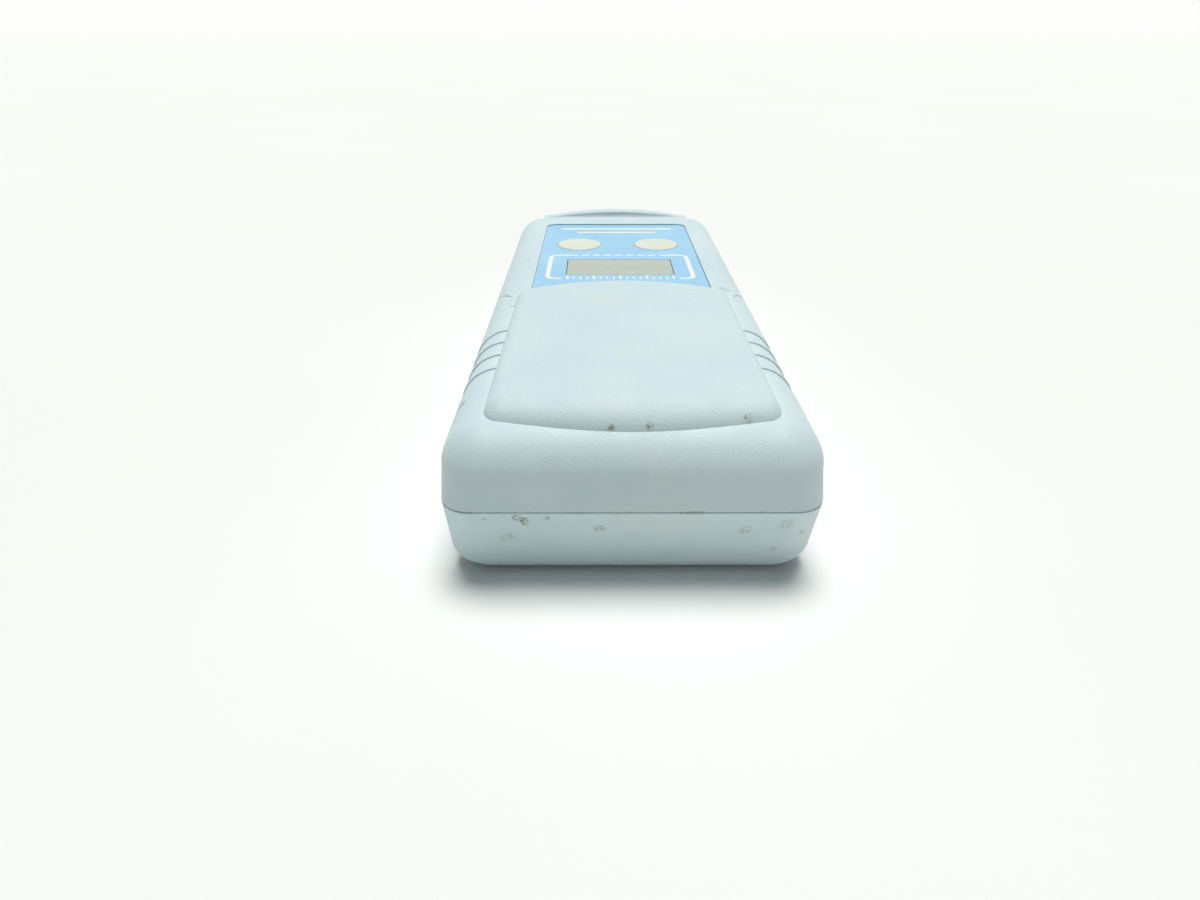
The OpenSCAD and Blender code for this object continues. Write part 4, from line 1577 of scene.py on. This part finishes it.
@dataclass
class RearHousing:
    """Lower moulding of the body, with the battery bay and the screw wells, and its door.

    Attributes:
        form: the body's form.
        layout: the places in it.
        bay_half: half width of the battery bay.
        bay_y: its near and far end.
        bay_wall: thickness of the walls round it.
        bay_top: height of its ceiling.
        bay_roof: height of the ceiling's upper face.
        door_half: half width of the door.
        door_gap: gap round it.
        door_t: its thickness.
        door_lift: height of its end at the keypad.
        ledge: how far it reaches past the bay's near end.
        runner: width of its runners.
        pitch: spacing of the cells.
        slot: half width, length and height of the slots for the contact plates.
        grooves: number and spacing of the thumb grooves.
        groove: half width, half length and depth of one.
        groove_set: distance of the first one from the keypad end.
    """

    form: BodyForm
    layout: Layout
    bay_half: float = 21.9
    bay_y: Place = (10.5, 60.0)
    bay_wall: float = 1.4
    bay_top: float = 13.2
    bay_roof: float = 14.4
    door_half: float = 22.0
    door_gap: float = 0.3
    door_t: float = 2.0
    door_lift: float = 6.0
    ledge: float = 0.4
    runner: float = 0.9
    pitch: float = 10.8
    slot: Point = (2.3, 0.8, 2.5)
    grooves: tuple[int, float] = (5, 2.4)
    groove: Point = (9.0, 0.55, 0.4)
    groove_set: float = 24.0

    def opening(self) -> Solid:
        """Makes the space that the battery door and its runners fill.

        Returns:
            The space.
        """
        form, gap = self.form, self.door_gap
        half = self.door_half + gap
        near, end = self.bay_y[0] - self.ledge, form.y_key + LAP
        pan = self.door_t + gap
        space = slab(half, near, end, -LAP, self.door_lift + gap)
        space.cut(form.lower(pan, form.y_cap, form.y_key - pan))
        return space.join(*self.runners(half, near, end, 1 - gap, self.door_t - 0.1 + gap))

    def runners(self, half: float, y0: float, y1: float, z0: float, z1: float) -> list[Solid]:
        """Makes the runners along both sides of a plate of a half width, between two heights."""
        low, high = half - LAP, half + self.runner
        return [box((low, y0, z0), (high, y1, z1)), box((-high, y0, z0), (-low, y1, z1))]

    def build(self, palette: Palette) -> None:
        """Builds the moulding.

        Args:
            palette: the finishes.
        """
        form, at = self.form, self.layout
        near, far = self.bay_y
        pan = self.door_t + self.door_gap + 1.5
        shell = form.lower(0, form.y_cap, form.y_key, edge=form.seam_edge).cut(
            form.zone(form.mouth_gap))
        shell.join(form.lower(form.neck_set, form.y_cap + form.neck_set, form.neck_root))
        shell.cut(form.lower(form.wall, form.cavity, far + self.bay_wall + 6, lap=LAP),
                  form.lower(pan, near, form.y_key - pan, lap=LAP),
                  form.lower(form.bore_set, form.y_cap + form.bore_set, form.neck_root, lap=LAP))
        shell.join(slab(self.bay_half + self.bay_wall, near - self.bay_wall, far + self.bay_wall,
                        form.wall / 2, self.bay_roof))
        for place, foot in zip(at.posts, (form.bore_set, form.wall, self.door_t + 0.8)):
            shell.join(*rods(place, at.post_r, foot - LAP, form.seam),
                       *rods(place, at.boss_r, foot - LAP, at.seat_z + 1))
        shell.cut(self.opening(), slab(self.bay_half, near, far, self.door_t / 2, self.bay_top))
        half, length, height = self.slot
        for middle in (1.5 * self.pitch, -1.5 * self.pitch):
            shell.cut(box((middle - half, far - length, self.bay_top - LAP),
                          (middle + half, far, self.bay_top + height)))
        for place in at.posts:
            shell.cut(*rods(place, at.head_r + 0.3, -LAP, at.seat_z),
                      *rods(place, at.screw_r + 0.2, at.seat_z - LAP, form.seam + LAP))
        palette.moulded(
            "rear_moulding", shell, Body.HOUSING, "rear_housing",
            (0.12, lambda p: form.on_mouth(p, form.mouth_gap) and form.outside(p)
             and p.z < form.seam - OFF_SEAM),
            (0.2, lambda p: p.z < 0.02))

    def door(self, palette: Palette) -> None:
        """Builds the battery door with its thumb grooves.

        Args:
            palette: the finishes.
        """
        form = self.form
        near = self.bay_y[0] - self.ledge + self.door_gap
        panel = form.lower(0, form.y_cap, form.y_key).meet(
            slab(self.door_half, near, form.y_key + 1, -LAP, self.door_lift))
        panel.join(*self.runners(self.door_half, *self.bay_y, 1, self.door_t - 0.1))
        panel.cut(form.lower(self.door_t, form.y_cap, form.y_key - self.door_t))
        count, pitch = self.grooves
        half, reach, depth = self.groove
        for k in range(count):
            y = form.y_key - self.groove_set + pitch * k
            panel.cut(plate(half, y - reach, y + reach, 0.5, -LAP, depth))
        palette.moulded("battery_door_moulding", panel, Body.DOOR, "battery_door",
                        (0.18, lambda p: p.z < 0.02))


# The keypad


@dataclass
class Keypad:
    """Printed overlay with its window pane, plain marks and two round keys.

    Attributes:
        form: the body's form.
        layout: the places in it.
        film: thickness of the overlay.
        ink_t: thickness of the marks.
        key_gap: gap round a key in the overlay.
        stroke: width of the bracket's line.
        bracket_half: half width of the bracket.
        bracket_r: its corner radius.
        bracket_reach: its reach from the window's middle towards the cap and the keys.
        bracket_gaps: half widths of its openings on those two sides.
        ticks: number of ticks on each side of the middle one.
        tick_pitch: spacing of the ticks.
        tick: height and half width of a short tick, and of every fourth one.
        tick_foot: distance of the ticks' feet from the window's middle.
        dashes: number and spacing of the dashes, and their distance from the window's middle.
        stripes: half width, distance from the keys, width and corner radius of the stripes.
    """

    form: BodyForm
    layout: Layout
    film: float = 0.3
    ink_t: float = 0.03
    key_gap: float = 0.09
    stroke: float = 1.1
    bracket_half: float = 18.4
    bracket_r: float = 2.6
    bracket_reach: Place = (10.7, 11.3)
    bracket_gaps: Place = (14.4, 10.9)
    ticks: int = 8
    tick_pitch: float = 1.62
    tick: tuple[Place, Place] = ((1.9, 0.22), (2.8, 0.3))
    tick_foot: float = 10.6
    dashes: tuple[int, float, float] = (7, 2.9, 10.2)
    stripes: tuple[tuple[float, ...], ...] = ((11.6, 13.2, 1.4, 0.5), (16.5, 17.4, 1.7, 0.6))

    def __post_init__(self) -> None:
        """Works out the heights of the overlay's face and of the marks on it."""
        self.face = self.layout.label_z + self.film
        self.inked = (self.face, self.face + self.ink_t)

    def overlay(self, palette: Palette) -> None:
        """Builds the overlay.

        Args:
            palette: the finishes.
        """
        form, at = self.form, self.layout
        under, over = at.label_z - 1, self.face + 1
        sheet = plate(at.recess_half - at.label_gap, form.mouth - 30,
                      at.recess_end - at.label_gap, at.label_r, at.label_z, self.face)
        sheet.cut(rod(0, form.mouth - form.mouth_r, form.mouth_r + form.mouth_gap, under, over,
                      480),
                  at.window_space(under, over),
                  *rods((at.key[0], at.key_y), at.key_r + self.key_gap, under, over))
        bm = sheet.mesh()
        tidy(bm)
        crisp(bm, 0.06, lambda p: p.z > self.face - 0.01)
        piece("printed_overlay", bm, Body.HOUSING, Slot.LABEL, palette.of[Slot.LABEL],
              "keypad_overlay")

    def bracket(self) -> Solid:
        """Makes the white bracket round the window, open in the middle of its long sides.

        Returns:
            The bracket.
        """
        z0, z1 = self.inked
        under, over = z0 - 1, z1 + 1
        half, r, t = self.bracket_half, self.bracket_r, self.stroke
        middle = self.layout.window_y
        y0, y1 = middle - self.bracket_reach[0], middle + self.bracket_reach[1]
        near, far = self.bracket_gaps
        return plate(half, y0, y1, r, z0, z1).cut(
            plate(half - t, y0 + t, y1 - t, r - t, under, over),
            slab(far, middle, middle + 20, under, over),
            slab(near, middle - 20, middle, under, over))

    def ink(self, palette: Palette) -> None:
        """Builds the white marks: the bracket, a scale of ticks, dashes and two plain stripes.

        Args:
            palette: the finishes.
        """
        z0, z1 = self.inked
        marks = self.bracket()
        foot = self.layout.window_y - self.tick_foot
        for k in range(-self.ticks, self.ticks + 1):
            x = k * self.tick_pitch
            tall, half = self.tick[0 if k % 4 else 1]
            marks.join(box((x - half, foot, z0), (x + half, foot + tall, z1)))
        count, pitch, away = self.dashes
        for k in range(count):
            x = (k - (count - 1) / 2) * pitch
            marks.join(plate(1.0, 0, 1.1, 0.4, z0, z1).shifted((x, self.layout.window_y + away, 0)))
        for half, away, width, r in self.stripes:
            y = self.layout.key_y + away
            marks.join(plate(half, y, y + width, r, z0, z1))
        piece("printed_marks", marks.mesh(), Body.HOUSING, Slot.LABEL, palette.ink)

    def pane(self, palette: Palette) -> None:
        """Builds the window pane with its rim.

        Args:
            palette: the finishes.
        """
        at = self.layout
        roof = self.form.top - self.form.wall
        w, y0, y1 = at.window[0] / 2, at.window_y - at.window[1] / 2, at.window_y + at.window[1] / 2
        rim = at.pane_rim
        bm = slab(w, y0, y1, roof - LAP, self.face).join(
            slab(w + rim, y0 - rim, y1 + rim, roof - at.rim_t, roof)).mesh()
        crisp(bm, 0.15, lambda p: p.z > self.face - 0.01)
        piece("clear_window", bm, Body.HOUSING, Slot.WINDOW, palette.of[Slot.WINDOW],
              "display_window")

    def key(self, name: str, side: int, body: Body, node: str, palette: Palette) -> None:
        """Builds one key by spinning its profile.

        Args:
            name: the piece's name.
            side: 1 for the right key and -1 for the left one.
            body: the body that it moves with.
            node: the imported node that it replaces.
            palette: the finishes.
        """
        at = self.layout
        foot, top = (corner.z for corner in corners_of(node))
        roof = self.form.top - self.form.wall
        r, stem, flange, rounding = at.key_r, 2.5, at.key_r + 1.1, 0.35
        profile = [(0, foot), (stem, foot), (stem, roof - 1.5), (flange, roof - 1.5),
                   (flange, roof - 0.3), (r, roof - 0.3), (r, top - rounding),
                   *arc(r - rounding, top - rounding, rounding, 15, 90, 5),
                   (r - 1.0, top - 0.02), (r - 1.6, top - 0.07), (r * 0.45, top - 0.1),
                   (0, top - 0.1)]
        bm = spun(profile)
        bmesh.ops.translate(bm, vec=(side * at.key[0], at.key_y, 0), verts=bm.verts)
        piece(name, bm, body, Slot.KEY, palette.of[Slot.KEY], node)

    def build(self, palette: Palette) -> None:
        """Builds every piece of the keypad.

        Args:
            palette: the finishes.
        """
        self.overlay(palette)
        self.ink(palette)
        self.pane(palette)
        self.key("round_zero_key", 1, Body.ZERO_KEY, "zero_key", palette)
        self.key("round_read_key", -1, Body.READ_KEY, "read_key", palette)


# The batteries


@dataclass
class Batteries:
    """Cells that lie nub first and nub last in turn, with a wire spring at each flat end.

    Attributes:
        rows: number of cells.
        nub: radius and height of a cell's nub.
        wire: radius of the springs' wire.
        coil: radius of a spring's first and last turn, to the middle of the wire.
        turns: number of its turns.
        free: space between a spring and its cell.
    """

    rows: int = 4
    nub: Place = (1.9, 0.8)
    wire: float = 0.3
    coil: Place = (3.6, 2.4)
    turns: float = 2.4
    free: float = 0.1

    def __post_init__(self) -> None:
        """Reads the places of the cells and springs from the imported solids."""
        self.low, self.high = corners_of("batteries")
        self.plates = [corner.y for corner in corners_of("battery_springs")]
        self.radius = (self.high.z - self.low.z) / 2
        self.length = self.high.y - self.low.y
        self.pitch = (self.high.x - self.low.x - 2 * self.radius) / (self.rows - 1)

    def laid(self, bm: bmesh.types.BMesh, row: int) -> bmesh.types.BMesh:
        """Lays a shape that stands on a cell's flat end into its row, facing the nub's way.

        Args:
            bm: the shape, standing on height 0.
            row: number of the row.

        Returns:
            The same mesh.
        """
        way = 1 if row % 2 == 0 else -1
        foot = self.low.y if way > 0 else self.high.y
        across = self.low.x + self.radius + row * self.pitch
        place = Matrix.Translation((across, foot, (self.low.z + self.high.z) / 2)) @ \
            Matrix.Rotation(-way * pi / 2, 4, "X")
        bmesh.ops.transform(bm, matrix=place, verts=bm.verts)
        return bm

    def cell(self) -> bmesh.types.BMesh:
        """Makes one cell: rolled edges, sunk flat end, shoulder and nub.

        Returns:
            The cell, standing on height 0 with its nub up.
        """
        r, length = self.radius, self.length
        nub_r, nub_h = self.nub
        shoulder = length - nub_h
        profile = [(0, 0.25), (r - 1.7, 0.25), (r - 1.4, 0.02)]
        profile += arc(r - 0.4, 0.4, 0.4, 270, 360, 5)
        profile += arc(r - 0.7, shoulder - 0.7, 0.7, 0, 90, 7)
        profile += [(r - 1.3, shoulder), (r - 1.5, shoulder - 0.2), (nub_r + 0.4, shoulder - 0.2),
                    (nub_r, shoulder)]
        profile += arc(nub_r - 0.3, length - 0.3, 0.3, 0, 90, 5)
        return spun([*profile, (0, length)], 64)

    def spring(self) -> bmesh.types.BMesh:
        """Makes one spring, which reaches from its plate to just short of the cell.

        Returns:
            The spring, standing below height 0.
        """
        height = self.low.y - self.plates[0] - self.free
        bm = coiled(*self.coil, self.wire, height, self.turns)
        bmesh.ops.translate(bm, vec=(0, 0, -height - self.free), verts=bm.verts)
        return bm

    def build(self, palette: Palette) -> None:
        """Builds the cells and the springs.

        Args:
            palette: the finishes.
        """
        rows = range(self.rows)
        piece("battery_cells", gathered(self.laid(self.cell(), row) for row in rows),
              Body.HOUSING, Slot.SLEEVE, palette.of[Slot.SLEEVE], "batteries")
        piece("coil_springs", gathered(self.laid(self.spring(), row) for row in rows),
              Body.HOUSING, Slot.METAL, palette.of[Slot.METAL], "battery_springs")


# Inside


@dataclass
class Inside:
    """What the shells hold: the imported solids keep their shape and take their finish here."""

    finishes: dict[str, Slot] = field(default_factory=lambda: {
        "cell_holder": Slot.BLACK, "cell_seal": Slot.SEAL, "lamp": Slot.LAMP,
        "lamp_board": Slot.BOARD, "lamp_lead": Slot.CABLE, "collimating_lens": Slot.OPTIC,
        "interference_filter": Slot.FILTER, "photodiode": Slot.METAL,
        "detector_board": Slot.BOARD, "detector_ribbon": Slot.CABLE, "main_board": Slot.BOARD,
        "microcontroller": Slot.CHIP, "amplifier_chip": Slot.CHIP,
        "smoothing_capacitor": Slot.METAL, "timing_crystal": Slot.METAL,
        "key_switches": Slot.BLACK, "cable_sockets": Slot.SOCKET, "board_screws": Slot.SCREW,
        "holder_screws": Slot.SCREW, "display_glass": Slot.DISPLAY, "display_frame": Slot.BLACK,
        "display_connectors": Slot.STRIP, "contact_plates": Slot.METAL,
        "case_screws": Slot.SCREW})

    def build(self, palette: Palette) -> None:
        """Gives every packed inner solid its finish.

        Args:
            palette: the finishes.
        """
        for node, slot in self.finishes.items():
            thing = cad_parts[node]
            thing.data.materials.clear()
            thing.data.materials.append(palette.of[slot])
            LOG.info("%s: packed solid, finish %s", node, slot.value)


# Studio


@dataclass
class Studio:
    """Pale floor, soft light from above and behind, and the camera of the photograph.

    Attributes:
        place: the camera's place in metres.
        tilt: its tilt from looking straight down, in degrees.
        yaw: its turn to the left, in radians.
        lens: its focal length in millimetres on a 36 mm wide sensor.
        sky: strength of the light that comes from all around.
        sky_tint: colour of that light.
        backdrop: colour that the camera and the reflections see all around.
        above: direction of the wide soft lamp.
        spread: the lamp's width as seen from the object, in degrees.
        key: its power in watts on a square metre.
    """

    place: Point = (-0.00533, -0.17067, 0.08082)
    tilt: float = 60.244
    yaw: float = -0.0019
    lens: float = 22.24
    sky: float = 0.1
    sky_tint: Point = (0.88, 0.96, 1.0)
    backdrop: Point = (0.98, 0.985, 0.975)
    above: Point = (0.02, 0.09, 0.8)
    spread: float = 32
    key: float = 2.8

    def floor(self) -> None:
        """Lays the floor."""
        bm = bmesh.new()
        bmesh.ops.create_grid(bm, x_segments=1, y_segments=1, size=6)
        mesh = bpy.data.meshes.new("studio_floor")
        bm.to_mesh(mesh)
        bm.free()
        g = Finish("studio_floor")
        tone = g.blend(g.ramp(g.noise(180, 3), 0.4, 0.7), srgb(249, 250, 246), srgb(251, 252, 249))
        mesh.materials.append(g.surface(Base_Color=tone, Roughness=0.7, Specular_IOR_Level=0.2))
        floor = bpy.data.objects.new("studio_floor", mesh)
        bpy.context.scene.collection.objects.link(floor)

    def world(self) -> None:
        """Sets the even light from all around, which the camera sees as white."""
        world = bpy.data.worlds.new("studio")
        g = Graph(world)
        path = g.add("ShaderNodeLightPath").outputs
        seen = g.math("MAXIMUM", path["Is Camera Ray"], path["Is Glossy Ray"])
        seen = g.math("MAXIMUM", seen, path["Is Transmission Ray"])
        light, white = (g.feed(g.add("ShaderNodeBackground"), Color=(*colour, 1), Strength=strength)
                        for colour, strength in ((self.sky_tint, self.sky), (self.backdrop, 1.0)))
        mix = g.add("ShaderNodeMixShader")
        g.put(mix.inputs, seen, light.outputs[0], white.outputs[0])
        g.feed(g.add("ShaderNodeOutputWorld"), Surface=mix.outputs[0])
        bpy.context.scene.world = world

    def lamp(self) -> None:
        """Hangs the wide soft lamp far away, so that it lights the whole floor evenly."""
        data = bpy.data.lights.new("soft_top", "SUN")
        data.angle = radians(self.spread)
        data.energy = self.key
        lamp = bpy.data.objects.new("soft_top", data)
        lamp.location = self.above
        lamp.rotation_euler = (-Vector(self.above)).to_track_quat("-Z", "Y").to_euler()
        bpy.context.scene.collection.objects.link(lamp)

    def camera(self) -> None:
        """Sets the camera at the photograph's angle."""
        data = bpy.data.cameras.new("camera")
        data.sensor_width = 36
        data.lens = self.lens
        data.clip_start = 0.005
        data.dof.use_dof = False
        camera = bpy.data.objects.new("camera", data)
        camera.location = self.place
        camera.rotation_euler = (radians(self.tilt), 0, self.yaw)
        bpy.context.scene.collection.objects.link(camera)
        bpy.context.scene.camera = camera

    def build(self) -> None:
        """Sets the whole studio up."""
        bpy.context.scene.view_settings.view_transform = "Standard"
        self.floor()
        self.world()
        self.lamp()
        self.camera()


def shell_marks() -> tuple[Smudge, ...]:
    """Lists the small dirt marks that the shells carry.

    Returns:
        The marks on the rail, the bulge and the end.
    """
    rail = [((-28.3, -58.6, 25.3), 1.7, 0.9), ((-24.0, -14.8, 27.9), 0.9, 1.0),
            ((-24.0, 49.0, 27.9), 0.8, 0.7), ((-23.6, 22.7, 27.9), 0.8, 0.7),
            ((23.6, -3.3, 28.0), 2.6, 0.45), ((20.9, -5.5, 28.0), 0.7, 0.9),
            ((22.1, -5.5, 28.0), 0.8, 0.9), ((26.7, -8.7, 27.3), 0.9, 0.8)]
    bulge = [((-3.4, -71.4, 27.9), 0.9, 0.8), ((2.4, -71.2, 28.1), 0.9, 0.8),
             ((17.5, -69.2, 28.4), 1.3, 0.7), ((19.1, -68.7, 28.4), 1.0, 0.7),
             ((1.0, -66.3, 31.7), 0.5, 0.5)]
    end = [((-23.2, -75.5, 14.0), 0.6, 0.7), ((-18.1, -75.6, 14.4), 1.2, 0.9),
           ((-17.2, -75.4, 13.8), 1.3, 1.0), ((-17.0, -75.1, 13.0), 0.8, 0.8),
           ((-13.4, -75.5, 14.2), 0.9, 0.6), ((-5.3, -74.6, 11.6), 1.4, 0.5),
           ((17.9, -74.4, 11.0), 1.6, 0.4), ((27.4, -73.9, 9.9), 1.0, 1.0),
           ((24.2, -74.9, 12.6), 1.7, 0.45), ((-20.1, -73.8, 9.3), 1.8, 0.35),
           ((23.5, -72.6, 5.8), 1.0, 0.45)]
    return tuple(Smudge(at, reach, dark) for at, reach, dark in (*rail, *bulge, *end))


def main() -> None:
    """Builds the dressed object piece by piece."""
    logging.basicConfig(level=logging.INFO, format="%(name)s: %(message)s")
    form = BodyForm()
    palette = Palette(shell_marks(), form.seam)
    layout = Layout(form)
    cap = Cap(form)
    cap.upper(palette)
    cap.lower(palette)
    FrontHousing(form, layout).build(palette)
    rear = RearHousing(form, layout)
    rear.build(palette)
    rear.door(palette)
    Keypad(form, layout).build(palette)
    Batteries().build(palette)
    Inside().build(palette)
    Studio().build()


if __name__ == "__main__":
    main()
